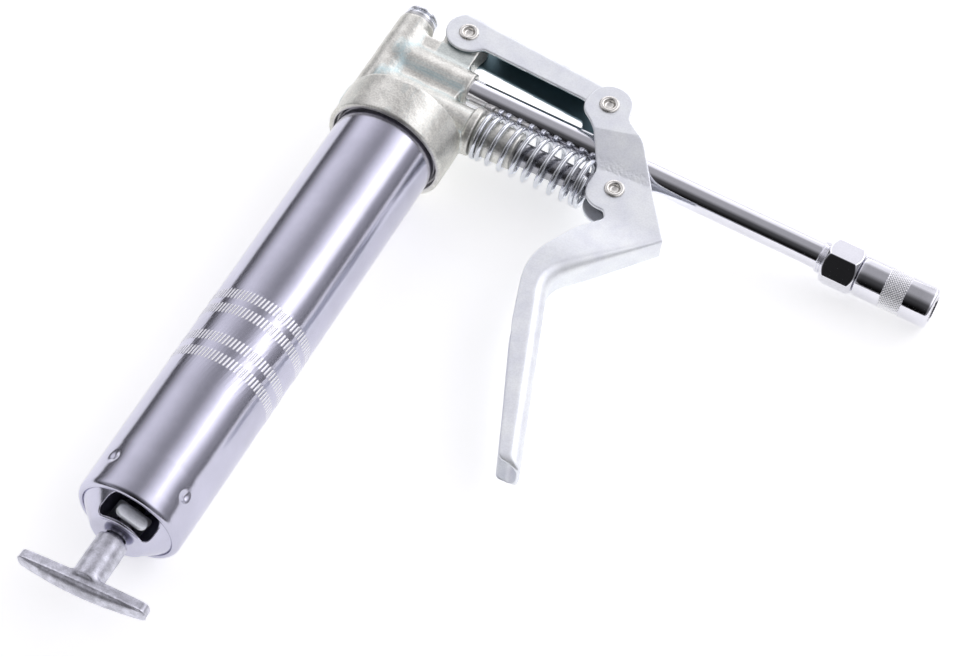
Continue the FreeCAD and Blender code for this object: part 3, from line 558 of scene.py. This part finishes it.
def head_casting():
    """Collar, valve tower, outlet boss, pump boss and lug flowing into one another."""
    g = Grid((-26, -41, -25), (44, 29, 25), 0.36)
    fillet = 2.4
    web_z = (-LUG_HALF, LUG_HALF)
    round_wall = np.hypot(g.x, g.z) - COLLAR_RADIUS + 0.1
    collar = both(round_wall, span(g.y, COLLAR_BOTTOM, COLLAR_TOP), 2.2)
    lip = both(round_wall, span(g.y, COLLAR_BOTTOM, COLLAR_BOTTOM + 6), 0.7)
    collar = np.minimum(collar, lip)
    tower = bar(g.y, g.x - VALVE_X, g.z, VALVE_RADIUS, -30, VALVE_TOP, 1.0)
    outlet = bar(g.x, g.y, g.z, OUTLET_BOSS_RADIUS, VALVE_X, OUTLET_END, 0.7)
    pump = bar(g.x, g.y - PUMP_Y, g.z, PUMP_BOSS_RADIUS, VALVE_X, 24, 0.6)
    shoulder = bar(g.x, g.y - PUMP_Y, g.z, SHOULDER_RADIUS, *SHOULDER_SPAN, 0.9)
    nose = bar(g.x, g.y - PUMP_Y, g.z, NOSE_RADIUS, 20, NOSE_END, 1.1)
    bridge = block(g, (VALVE_X, OUTLET_END - 2), (PUMP_Y, 0), (-BRIDGE_HALF, BRIDGE_HALF), 0.8)
    lug = bar(g.z, g.x - LUG[0], g.y - LUG[1], LUG_RADIUS - 0.3, *web_z, 0.5)
    web = block(g, (VALVE_X, LUG[0] + 7.0), (0, LUG[1] - 7.4), web_z, 0.6)
    neck = block(g, (LUG[0] - 7.0, LUG[0] + 7.2), (0, LUG[1] - 1), web_z, 0.6)
    solids = (collar, tower, outlet, pump, shoulder, nose, bridge, lug, web, neck)
    sharp = functools.reduce(np.minimum, solids)
    field = either(tower, collar, fillet)
    field = either(field, outlet, fillet)
    field = either(field, either(either(web, neck, 0.8), lug, 0.8), 1.6)
    field = either(field, either(bridge, pump, 1.5), fillet)
    field = either(field, either(shoulder, nose, 0.5), 1.0)
    field = field + 0.05 * wobble(g, 9.0, 1.0) + 0.02 * wobble(g, 2.6, 5.0)
    for hollow in head_hollows(g):
        field = without(field, hollow, 0.3)
    made = field_piece("head_shell", g, field, "head", "cast_head", ["head_casting"])
    # Painted shade: points where the filleted casting fills the corners between its sharp parts take the
    # darker cyan colour.
    filled = sampled(g, sharp, places_of(made))
    mark(made, "painted_recess_shade", RECESS_SHADE_STRENGTH * np.clip((filled - 0.05) / 0.9, 0, 1))


def valve_plug():
    """Domed screw plug with a flange and a ring under its head."""
    base = VALVE_TOP + 1.0
    top = 21.8
    turned("plug_head", [
        (8.8, 0), (8.8, 4.4), (base, 4.4), (base, 6.4), (base + 1.3, 6.4), (base + 1.5, 5.3),
        (base + 2.0, 5.3), (base + 2.3, 6.3), (top - 1.3, 6.3), (top - 0.5, 5.4), (top, 3.0), (top, 0),
    ], "Y", (VALVE_X, 0, 0), "head", "bright_zinc", ["valve_plug"], edge=0.4)


# ---------------------------------------------------------------- barrel

HATCH_BANDS = (-128.5, -135.1, -147.5, -154.7)
HATCH_HEIGHT = 4.2
HATCH_FADE = 0.2
HATCH_RELIEF = 0.08
HATCH_COUNT = 88
HATCH_SLANT = math.tan(math.radians(9))
WALL = 1.0
CRIMP_Y = -202.7
CRIMP_ANGLES = [math.radians(a) for a in (-38, 52, 142, 232)]
# The rolled lip as (above the barrel's bottom, inward from its wall).
ROLLED_LIP = [(2.0, 0.06), (1.1, 0.35), (0.4, 0.9), (0.05, 1.6), (0.05, 2.1), (0.35, 2.4), (0.9, 2.3),
              (2.2, 1.4)]


def barrel_stations():
    """Stations down the outer wall: close together where it is stamped or punched."""
    stations = set(np.linspace(BARREL_TOP, BARREL_BOTTOM + 3, 24).round(3))
    for middle in HATCH_BANDS:
        reach = HATCH_HEIGHT / 2 + HATCH_FADE
        stations |= set(np.linspace(middle - reach, middle + reach, 17).round(3))
    stations |= set(np.linspace(CRIMP_Y - 6, CRIMP_Y + 6, 40).round(3))
    return sorted(stations, reverse=True)


def stamped_lines(angle, station):
    """1 on the pressed lines of the hatch bands and 0 between them; the lines lean by HATCH_SLANT."""
    leaning = angle - station * HATCH_SLANT / BARREL_RADIUS
    share = np.abs((leaning * HATCH_COUNT / (2 * math.pi)) % 1 - 0.5) * 2
    line = np.clip((0.48 - share) / 0.16, 0, 1)
    inside = np.zeros(angle.shape)
    for middle in HATCH_BANDS:
        inside += np.clip((HATCH_HEIGHT / 2 - np.abs(station - middle)) / HATCH_FADE, 0, 1)
    return line * inside


def barrel_relief(angle, station):
    """How far the wall is pressed in at each point: lines pressed outwards and four punched crimps."""
    depth = -HATCH_RELIEF * stamped_lines(angle, station)
    for crimp in CRIMP_ANGLES:
        around = ((angle - crimp + math.pi) % (2 * math.pi) - math.pi) * BARREL_RADIUS
        apart = np.hypot(around, station - CRIMP_Y)
        depth += 0.75 * np.exp(-(apart / 1.5) ** 2) + 0.16 * np.exp(-(apart / 4.0) ** 2)
    return depth


def barrel():
    """Drawn tube with a rolled lip, hatch bands pressed outward and crimps pressed inward."""
    segments = HATCH_COUNT * 8
    wall = [(station, BARREL_RADIUS) for station in barrel_stations()]
    lip = [(BARREL_BOTTOM + above, BARREL_RADIUS - inward) for above, inward in ROLLED_LIP]
    inner = [(station, BARREL_RADIUS - WALL) for station in np.linspace(BARREL_BOTTOM + 4, BARREL_TOP, 12)]
    points, faces = lathe(wall + lip + inner, "Y", (0, 0, 0), segments)
    points = np.array(points)
    radius = np.hypot(points[:, 0], points[:, 2])
    angle = np.arctan2(points[:, 0], points[:, 2]) + points[:, 1] * HATCH_SLANT / BARREL_RADIUS
    points[:, 0] = radius * np.sin(angle)
    points[:, 2] = radius * np.cos(angle)
    outer = radius > BARREL_RADIUS - 0.01
    pressed = np.where(outer, barrel_relief(angle, points[:, 1]), 0)
    pressed = np.clip(pressed, -0.2, 0.95)
    points[:, 0] *= (radius - pressed) / radius
    points[:, 2] *= (radius - pressed) / radius
    made = piece("barrel_skin", points, faces, "barrel", "barrel_plate", ["barrel_tube"])
    # The raised hatch lines take a painted highlight.
    mark(made, "painted_ridge_highlight", np.where(outer, stamped_lines(angle, points[:, 1]), 0))


CAP_FACE = -221.8
CAP_SHEET = 1.1


def end_cap():
    """Pressed cap: a rim inside the barrel, a cone and a rounded window for the latch."""
    g = Grid((-20.5, -223, -20.5), (20.5, -196.5, 20.5), 0.3)
    r = np.hypot(g.x, g.z)
    outer = BARREL_RADIUS - 2.45
    lip = BARREL_BOTTOM
    outline = rounded_outline([
        (outer + 1.35, lip + 17, 0.3), (outer + 1.35, lip + 3.4, 1.5), (outer, lip + 0.6, 1.2),
        (9.8, CAP_FACE, 2.2), (3.7, CAP_FACE, 0.3), (3.7, CAP_FACE + CAP_SHEET, 0.3),
        (9.2, CAP_FACE + CAP_SHEET, 1.2), (outer - 1.3, lip + 0.9, 1.2), (outer + 0.3, lip + 4.2, 1.0),
        (outer + 0.3, lip + 17, 0.3)], 5)
    shell = outline_field(r, g.y, outline)
    across, ahead = turned_axes(g, LATCH_TURN)
    window = both(span(across, -10.2, 9.0), np.maximum(span(g.y, -220.6, lip + 0.8), 5.0 - ahead), 2.4)
    field = without(shell, window, 0.5)
    field_piece("cap_shell", g, field, "barrel", "barrel_plate", ["end_cap"])


def latch_plate():
    """Sprung latch strip whose bent end stands in the cap's window."""
    g = Grid((-14, -220.5, -14), (14, -212.5, 14), 0.25)
    across, ahead = turned_axes(g, LATCH_TURN)
    strip = both(span(across, -6.4, 6.4), span(ahead, -10.8, 10.6), 1.0)
    strip = both(strip, np.hypot(g.x, g.z) - 12.2, 0.5)
    strip = both(strip, span(g.y, BARREL_BOTTOM - 1.0, BARREL_BOTTOM + 1.4), 0.75)
    face = both(span(across, -5.9, 5.9), span(g.y, -219.6, BARREL_BOTTOM + 0.6), 2.4)
    tab = both(face, span(ahead, 9.7, 11.5), 0.6)
    field = without(either(strip, tab, 1.0), np.hypot(g.x, g.z) - 3.9, 0.3)
    field_piece("latch_strip", g, field, "latch", "dark_steel", ["latch_plate"])


# ---------------------------------------------------------------- finger bar

BAR_REACH = 24.4
STEM_RADIUS = 5.65
ROD_RADIUS = 3.2


def finger_bar():
    """Cast finger bar: a straight back, a crowned outer face and a parting line, on a round stem."""
    g = Grid((-26, -249, -7.5), (26, -222.5, 7.5), 0.3)
    along, across = turned_axes(g, BAR_TURN)
    share = np.clip(np.abs(along) / BAR_REACH, 0, 1)
    back = -239.9
    edge = back - 3.5
    half_width = 2.9 + 0.9 * (1 - share ** 2)
    crown = 0.4 + 2.5 * (1 - share ** 2)
    side = np.clip(np.abs(across) / half_width, 0, 1)
    face = edge - crown * np.sqrt(np.maximum(1 - side ** 2, 0.0))
    body = both(span(along, -BAR_REACH, BAR_REACH), np.abs(across) - half_width, 2.2)
    solid = both(body, np.maximum(g.y - back, (face - g.y) * 0.8), 0.5)
    flash = both(body - 0.22, np.abs(g.y - edge) - 0.16, 0.05)
    stem = bar(g.y, g.x, g.z, STEM_RADIUS, -241, -223.5, 0.5)
    field = either(either(solid, stem, 1.4), flash, 0.1) + 0.03 * wobble(g, 4.0, 2.0)
    bore = bar(g.y, g.x, g.z, ROD_RADIUS, -235.9, -200, 0.2)
    field = without(field, bore, 0.2)
    field_piece("finger_bar", g, field, "rod", "die_cast", ["t_handle"])


# ---------------------------------------------------------------- link, lever and rivets

LINK_LENGTH = math.dist(LUG, EAR)
LINK_BEND = 2.4
LINK_MOUTH = 9.5                # how far in from each pivot the channel is closed
HOLE_RADIUS = RIVET_RADIUS - 0.1


def link_half_width(along):
    """The link widens from the head towards the lever's ears."""
    return np.interp(along, [9, LINK_LENGTH - 12], [LINK_NARROW, LINK_WIDE])


def link():
    """Channel of pressed sheet with two round lugs, closed along its top between them."""
    g = Grid((-8, 4, -8), (73, 30, 8), 0.3)
    along, above = line_axes(g.x, g.y, LUG, EAR)
    past_half = np.abs(g.z) - link_half_width(along)
    lower = np.interp(along, [0, LINK_LENGTH], [-3.6, -1.6])
    strip = np.maximum(span(above, lower, LUG_RADIUS), span(along, 0, LINK_LENGTH))
    from_pivot = np.minimum(np.hypot(along, above), np.hypot(along - LINK_LENGTH, above))
    outline = either(strip, from_pivot - LUG_RADIUS, 1.5)
    outer = both(above - LUG_RADIUS, past_half, LINK_BEND)
    hollow = both(above - LUG_RADIUS + SHEET, past_half + SHEET, LINK_BEND - SHEET)
    open_end = np.maximum(-span(along, LINK_MOUTH, LINK_LENGTH - LINK_MOUTH), past_half + SHEET)
    shell = without(outer, np.minimum(hollow, open_end), 0.1)
    field = without(both(shell, outline, 0.3), from_pivot - HOLE_RADIUS, 0.1)
    made = field_piece("link_channel", g, field, "link", "plated_sheet", ["link"])
    # The channel's inner faces take a painted shade.
    x, y, z = places_of(made).T
    along, above = line_axes(x, y, LUG, EAR)
    shaded_inner_face = (above < LUG_RADIUS - SHEET / 2) & (np.abs(z) < link_half_width(along) - SHEET / 2)
    mark(made, "inside", shaded_inner_face)


LEVER_BACK = (104.6, -26.5)
LEVER_KNEE = (77.3, -60.8)
LEVER_TIP = (104.9, -135.2)
LEVER_OUTLINE = [
    (55.6, 22.8, 7.8), (69.0, 23.0, 7.8), (71.6, 11.8, 5.0), (80.3, 6.4, 14.0), (*LEVER_BACK, 1.2),
    (*LEVER_KNEE, 11.0), (*LEVER_TIP, 1.5), (95.9, -134.3, 2.6), (86.6, -112.0, 120.0), (74.4, -83.6, 60.0),
    (66.2, -58.0, 26.0), (75.5, -37.0, 22.0), (82.4, -28.2, 1.6), (80.2, -25.3, 1.2), (70.4, -25.4, 7.4),
    (70.3, -10.5, 6.0), (61.3, 3.8, 20.0), (53.5, 9.2, 6.5),
]


# The two lines of the joggle between the wide ears and the narrow waist.
UPPER_CREASE = ((61.2, 2.3), (75.9, 7.0))
LOWER_CREASE = ((67.6, -10.7), (88.5, -8.7))
TOOL_MARK_DEPTH = 0.10
FLARE_TOP = -24.2
FLARE_HEIGHT = 28.0
TIP_ROUNDING = 6.0


def lever_web_side():
    """The line that the lever's web follows, closed far behind it."""
    far = 200
    return rounded_outline([
        (-far, far, 0), (2 * far, far, 0), (LEVER_BACK[0] + 60, LEVER_BACK[1] + 60, 0), (*LEVER_BACK, 0),
        (*LEVER_KNEE, 11.0), (LEVER_TIP[0] + 24.3, -far, 0), (-far, -far, 0)])


def lever_half_width(g):
    """Wide at the ears, joggled in to the waist, and flaring out again into the grip."""
    above_upper = line_axes(g.x, g.y, *UPPER_CREASE)[1]
    above_lower = line_axes(g.x, g.y, *LOWER_CREASE)[1]
    share = np.clip(above_lower / np.maximum(above_lower - above_upper, 0.1), 0, 1)
    share = np.where(above_upper > 0, 1, share)
    flare = np.clip((FLARE_TOP - g.y) / FLARE_HEIGHT, 0, 1)
    flare = flare * flare * (3 - 2 * flare)
    half = LEVER_WAIST + (LEVER_EAR - LEVER_WAIST) * share + (LEVER_GRIP - LEVER_WAIST) * flare
    tooled = np.clip(above_lower / 0.5, 0, 1) * np.clip((5.5 - above_lower) / 2.5, 0, 1)
    dents = wobble(Flat(g), 2.1, 3.0) + wobble(Flat(g), 1.2, 7.0)
    return half - TOOL_MARK_DEPTH * tooled * np.abs(dents)


def lever():
    """Trigger lever of one pressed sheet: ears, a joggled waist and a channel grip with a full bend."""
    g = Grid((52, -137, -10), (107, 25, 10), 0.3)
    trim = outline_field(g.x, g.y, rounded_outline(LEVER_OUTLINE))
    web = outline_field(g.x, g.y, lever_web_side())
    past_half = np.abs(g.z) - lever_half_width(g)
    bend = 2.0 + 3.6 * np.clip((-30 - g.y) / 30, 0, 1)
    outer = both(web, past_half, bend)
    hollow = both(web + SHEET, past_half + SHEET, bend - SHEET)
    past_tip = line_axes(g.x, g.y, LEVER_KNEE, LEVER_TIP)[0] - math.dist(LEVER_KNEE, LEVER_TIP)
    round_end = both(past_tip, past_half, TIP_ROUNDING)
    field = both(both(without(outer, hollow, 0.1), trim, 0.3), round_end, 0.3)
    from_pivot = np.minimum(np.hypot(g.x - EAR[0], g.y - EAR[1]), np.hypot(g.x - EYE[0], g.y - EYE[1]))
    field = without(field, from_pivot - HOLE_RADIUS, 0.1)
    field_piece("lever_sheet", g, field, "lever", "plated_sheet", ["lever"])


def rivet(name, node, body, at, half_width):
    """Tubular rivet with a rolled rim at each end round a dark hole."""
    rim = half_width + 0.7
    upper = [(rim - 1.5, 0), (rim - 1.4, 1.2), (rim - 1.1, 1.7), (rim - 0.5, 1.95), (rim - 0.12, 2.3),
             (rim, 2.85), (rim - 0.15, 3.35), (rim - 0.5, 3.7), (half_width, 3.75), (half_width, 2.45)]
    lower = [(-station, radius) for station, radius in reversed(upper)]
    turned(name, upper + lower, "Z", (*at, 0), body, "rivet_steel", [node], edge=0.3, segments=64)


# ---------------------------------------------------------------- pump, pipe and coupler

# Where the return spring's wire is after each turn: close at both ends, even between them.
RETURN_SPRING = [(0, 26.7), (1, 28.6), (2, 32.6), (3, 37.4), (4, 42.2), (5, 47.0), (6, 52.2), (7, 57.5),
                 (8, 62.6), (9, 66.6), (10, 68.8), (10.4, 69.2)]


def return_spring():
    """Compression spring with closed ends between the pump's shoulder and the lever."""
    made = spring("spring_coils", "head", "X", (0, PUMP_Y, 0), 8.45, 2.0, RETURN_SPRING, math.radians(200),
                  ["return_spring"])
    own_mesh(made)


def inner_springs():
    """The springs inside the barrel, the valve and the coupler."""
    follower = spring("follower_coils", "barrel", "Y", (0, 0, 0), 11.6, 1.8,
                      [(0, -195.6), (1, -193.7), (14, -49.3), (15, -47.4)], 0, ["follower_spring"])
    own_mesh(follower)
    latch = spring("latch_coils", "barrel", "Y", (0, 0, 0), 5.2, 0.9,
                   [(0, -212.8), (1, -211.8), (5, -199.5), (6, -198.5)], 0, ["latch_spring"])
    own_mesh(latch)
    check = spring("check_coils", "head", "Y", (VALVE_X, 0, 0), 2.6, 0.6,
                   [(0, 0.15), (1, 0.8), (5, 7.4), (6, 8.05)], 0, ["check_spring"])
    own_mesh(check)
    coupler = spring("coupler_coils", "head", "X", (0, 0, 0), 2.8, 0.7,
                     [(0, 172.4), (1, 173.1), (3, 175.6), (4, 176.3)], 0, ["coupler_spring"])
    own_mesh(coupler)


PIPE_START = 4.2
PIPE_END = 165.5
PIPE_BORE = 2.4


def pipe():
    """Straight outlet pipe from the head to the coupler."""
    wall = [(station, PIPE_RADIUS) for station in (PIPE_START, 60, 110, PIPE_END)]
    turned("pipe_skin", [(PIPE_START, PIPE_BORE), *wall, (PIPE_END, PIPE_BORE)],
           "X", (0, 0, 0), "head", "polished_chrome", ["outlet_pipe"], edge=0.2, segments=128)


HEX_SPAN = (156.9, 169.5)
HEX_HALF = 7.5
HEX_TURN = 78.0                 # degrees
NECK_RADIUS = 6.1
NECK_START = 154.4
RING_PITCH = 0.95
RING_DEPTH = 0.35
NOSE_SPAN = (168.0, 179.8)


def coupler_body():
    """Ringed neck, hexagon with turned corners, and the threaded nose inside the sleeve."""
    g = Grid((153.5, -9, -9), (181, 9, 9), 0.2)
    r = np.hypot(g.y, g.z)
    hexagon = -1e9
    for index in range(6):
        angle = math.radians(HEX_TURN + 60 * index)
        hexagon = np.maximum(hexagon, g.y * math.cos(angle) + g.z * math.sin(angle) - HEX_HALF)
    hexagon = both(hexagon, span(g.x, *HEX_SPAN), 0.15)
    turned_ends = np.maximum(HEX_SPAN[0] - 0.2 - g.x, g.x - HEX_SPAN[1])
    hexagon = both(hexagon, (r - 7.15 + turned_ends) * 0.7, 0.25)
    ripple = 1 + np.cos((g.x - NECK_START) * 2 * math.pi / RING_PITCH)
    neck = both(r - NECK_RADIUS + RING_DEPTH / 2 * ripple, span(g.x, NECK_START, 157.5), 0.15)
    nose = both(r - 5.9, span(g.x, *NOSE_SPAN), 0.3)
    field = np.minimum(np.minimum(hexagon, neck), nose)
    pipe_socket = both(r - PIPE_RADIUS + RUNNING_GAP, span(g.x, 150, PIPE_END), 0.1)
    seal_socket = both(r - 3.8, span(g.x, 171.9, 190), 0.1)
    field = without(field, np.minimum(np.minimum(pipe_socket, seal_socket), r - 1.8), 0.1)
    field_piece("coupler_hexagon", g, field, "head", "polished_chrome", ["coupler_body"])


SLEEVE_START = 169.9
SLEEVE_MOUTH = 198.38
SLEEVE_RADIUS = 7.55
SLEEVE_BORE = 6.0
KNURL_SPAN = (180.0, 188.0)
KNURL_TEETH = 44
KNURL_DEPTH = 0.32
KNURL_MARGIN = 0.15


def sleeve_profile():
    """Outline of the sleeve: a softened rear edge, close stations under the knurl and a rounded mouth."""
    start, mouth, radius = SLEEVE_START, SLEEVE_MOUTH, SLEEVE_RADIUS
    rear = soften([(start, SLEEVE_BORE), (start, radius), (start + 6, radius)], 0.5)[4:-4]
    first, last = KNURL_SPAN
    knurled = [(x, radius) for x in np.linspace(first, last, 75)]
    knurled = [(first - KNURL_MARGIN, radius), *knurled, (last + KNURL_MARGIN, radius)]
    front = [(mouth - 1.3, radius), (mouth - 0.7, radius - 0.12), (mouth - 0.25, radius - 0.45),
             (mouth - 0.02, radius - 1.0), (mouth, 5.2), (mouth - 0.1, 5.0), (mouth - 1.2, 5.0),
             (mouth - 4.4, SLEEVE_BORE), (start, SLEEVE_BORE)]
    return [*rear, (start + 2, radius), *knurled, *front]


def coupler_sleeve():
    """Sleeve with a rounded mouth and a band of diamond knurling."""
    points, faces = lathe(sleeve_profile(), "X", (0, 0, 0), KNURL_TEETH * 10)
    points = np.array(points)
    station = points[:, 0]
    angle = np.arctan2(points[:, 1], points[:, 2])
    outer = np.hypot(points[:, 1], points[:, 2]) > SLEEVE_RADIUS - 0.01
    cut = outer & (station > KNURL_SPAN[0] + 0.05) & (station < KNURL_SPAN[1] - 0.05)
    slope = (station - KNURL_SPAN[0]) / SLEEVE_RADIUS
    left = np.abs(((angle + slope) * KNURL_TEETH / (2 * math.pi)) % 1 - 0.5) * 2
    right = np.abs(((angle - slope) * KNURL_TEETH / (2 * math.pi)) % 1 - 0.5) * 2
    groove = np.clip(np.maximum(left, right) - 0.55, 0, 1) / 0.45
    points[:, 1:] *= 1 - np.where(cut, KNURL_DEPTH * groove, 0)[:, None] / SLEEVE_RADIUS
    made = piece("sleeve_skin", points, faces, "coupler_sleeve", "polished_chrome", ["coupler_sleeve"])
    # The crests of the knurl take a painted highlight.
    mark(made, "painted_ridge_highlight", np.where(cut, np.clip(1 - 3 * groove, 0, 1), 0))


# ---------------------------------------------------------------- studio

TABLE_HALF = 6.0                # metres
TABLE_GAP = 0.0003
PAPER_WHITE = (0.85, 0.85, 0.85)
PAPER_GLOW = 0.52


def floor():
    """A pale table, tilted as the gun lies: on its collar, the barrel's end and the coupler."""
    contacts = [row_point(0, -37, -COLLAR_RADIUS), row_point(0, -212, -BARREL_RADIUS),
                row_point(190, 0, -7.55)]
    normal = (contacts[1] - contacts[0]).cross(contacts[2] - contacts[0]).normalized()
    if normal.z < 0:
        normal = -normal
    mesh = bpy.data.meshes.new("table")
    corners = [(x * TABLE_HALF, y * TABLE_HALF, 0) for x, y in ((-1, -1), (1, -1), (1, 1), (-1, 1))]
    mesh.from_pydata(corners, [], [(0, 1, 2, 3)])
    table = bpy.data.objects.new("table", mesh)
    bpy.context.scene.collection.objects.link(table)
    place = Matrix.Translation(contacts[0] - normal * TABLE_GAP)
    table.matrix_world = place @ normal.to_track_quat("Z", "Y").to_matrix().to_4x4()
    paper = bpy.data.materials.new("paper")
    paper.use_nodes = True
    shader = paper.node_tree.nodes["Principled BSDF"]
    shader.inputs["Base Color"].default_value = (*PAPER_WHITE, 1)
    shader.inputs["Roughness"].default_value = 0.9
    shader.inputs["Emission Color"].default_value = (1, 1, 1, 1)
    shader.inputs["Emission Strength"].default_value = PAPER_GLOW
    mesh.materials.append(paper)


def softbox(name, direction, distance, size, radiance):
    """A rectangular soft light of an even radiance that faces the gun's middle from a direction."""
    light = bpy.data.lights.new(name, "AREA")
    light.shape = "RECTANGLE"
    light.size, light.size_y = size
    light.energy = radiance * math.pi * size[0] * size[1]
    made = bpy.data.objects.new(name, light)
    bpy.context.scene.collection.objects.link(made)
    aim = Vector(direction).normalized()
    target = row_point(70, -90, 0)
    made.location = target + aim * distance
    made.rotation_mode = "QUATERNION"
    made.rotation_quaternion = aim.to_track_quat("Z", "Y")


# The soft sky as (degrees round the barrel's axis, brightness): a wide fill over the -X side, a dim top, a
# key over the +X side, and dark horizons.
SKY_AROUND = [(-90, 0.1), (-55, 1.0), (0, 0.4), (40, 1.6), (70, 0.4), (90, 0.1)]
# How that brightness grows from the dark front (-Y) to behind the gun (+Y).
SKY_ALONG = [(-1.0, 0.0), (-0.6, 0.15), (0.0, 1.0), (0.5, 1.0), (0.8, 2.0), (1.0, 2.0)]
# The two sides of the sky stay lit all the way to the front.
SKY_SIDES = [(-90, 0.5), (-70, 0.5), (-40, 0.0), (40, 0.0), (70, 0.5), (90, 0.5)]
SKY_FULL = 2.0
SKY_STRENGTH = 4.0
SKY_TINT = (0.96, 0.95, 1.0)


def sky_ramp(nodes, stops, low, high):
    """A colour ramp through (place, brightness) stops, with SKY_FULL as its white."""
    ramp = nodes.new("ShaderNodeValToRGB")
    ramp.color_ramp.interpolation = "EASE"
    for index, (place, value) in enumerate(stops):
        share = (place - low) / (high - low)
        if index < 2:
            stop = ramp.color_ramp.elements[index]
            stop.position = share
        else:
            stop = ramp.color_ramp.elements.new(share)
        grey = value / SKY_FULL
        stop.color = (grey, grey, grey, 1)
    return ramp


def soft_sky():
    """A seamless soft sky with a fill, a key and a dark front."""
    world = bpy.data.worlds.new("studio")
    bpy.context.scene.world = world
    world.use_nodes = True
    nodes, links = world.node_tree.nodes, world.node_tree.links
    where = nodes.new("ShaderNodeTexCoord")
    split = nodes.new("ShaderNodeSeparateXYZ")
    links.new(where.outputs["Generated"], split.inputs["Vector"])
    turn = nodes.new("ShaderNodeMath")
    turn.operation = "ARCTAN2"
    links.new(split.outputs["X"], turn.inputs[0])
    links.new(split.outputs["Z"], turn.inputs[1])
    share = nodes.new("ShaderNodeMapRange")
    share.inputs["From Min"].default_value = -math.pi / 2
    share.inputs["From Max"].default_value = math.pi / 2
    links.new(turn.outputs["Value"], share.inputs["Value"])
    around = sky_ramp(nodes, SKY_AROUND, -90, 90)
    links.new(share.outputs["Result"], around.inputs["Fac"])
    depth = nodes.new("ShaderNodeMapRange")
    depth.inputs["From Min"].default_value = -1
    links.new(split.outputs["Y"], depth.inputs["Value"])
    along = sky_ramp(nodes, SKY_ALONG, -1, 1)
    links.new(depth.outputs["Result"], along.inputs["Fac"])
    sides = sky_ramp(nodes, SKY_SIDES, -90, 90)
    links.new(share.outputs["Result"], sides.inputs["Fac"])
    lit = mixed_colours(nodes, links, "LIGHTEN", along.outputs["Color"], sides.outputs["Color"])
    sky = mixed_colours(nodes, links, "MULTIPLY", around.outputs["Color"], lit)
    tint = nodes.new("ShaderNodeRGB")
    tint.outputs["Color"].default_value = (*SKY_TINT, 1)
    background = nodes["Background"]
    background.inputs["Strength"].default_value = SKY_STRENGTH
    links.new(mixed_colours(nodes, links, "MULTIPLY", sky, tint.outputs["Color"]), background.inputs["Color"])


def studio():
    """The sky and two softboxes, shown with plain colour handling."""
    soft_sky()
    softbox("key", direction=(0.565, 0.507, 0.651), distance=1.3, size=(0.30, 0.6), radiance=0.6)
    softbox("back", direction=(-0.15, 0.85, 0.5), distance=2.4, size=(2.4, 1.2), radiance=0.12)
    bpy.context.scene.view_settings.view_transform = "Standard"


CAMERA_ANGLES = (21.635, 56.93, 7.541)          # azimuth, elevation and roll in degrees
CAMERA_DISTANCE = 1.17247                       # metres
CAMERA_TARGET = (-0.132523, -0.087644, 0)
CAMERA_LENS = 126.7                             # millimetres


def camera():
    """Looks from above and in front of the gun, from a little to its right, and tilted."""
    azimuth, elevation, roll = (math.radians(degrees) for degrees in CAMERA_ANGLES)
    target = Vector(CAMERA_TARGET)
    back = Vector((math.sin(azimuth) * math.cos(elevation), -math.cos(azimuth) * math.cos(elevation),
                   math.sin(elevation)))
    level = (-back).cross(Vector((0, 0, 1))).normalized()
    upright = level.cross(-back)
    right = level * math.cos(roll) + upright * math.sin(roll)
    up = -level * math.sin(roll) + upright * math.cos(roll)
    data = bpy.data.cameras.new("camera")
    data.sensor_width = 36
    data.lens = CAMERA_LENS
    made = bpy.data.objects.new("camera", data)
    bpy.context.scene.collection.objects.link(made)
    turn = Matrix((right, up, back)).transposed().to_4x4()
    made.matrix_world = Matrix.Translation(target + back * CAMERA_DISTANCE) @ turn
    data.clip_start = 0.05
    data.clip_end = 20
    bpy.context.scene.camera = made


dress_cad_nodes()
head_casting()
valve_plug()
barrel()
end_cap()
latch_plate()
finger_bar()
link()
lever()
rivet("head_rivet_skin", "head_rivet", "link", LUG, LINK_NARROW)
rivet("link_rivet_skin", "link_rivet", "lever", EAR, LEVER_EAR)
rivet("plunger_rivet_skin", "plunger_rivet", "lever", EYE, LEVER_WAIST)
return_spring()
inner_springs()
pipe()
coupler_body()
coupler_sleeve()
floor()
studio()
camera()
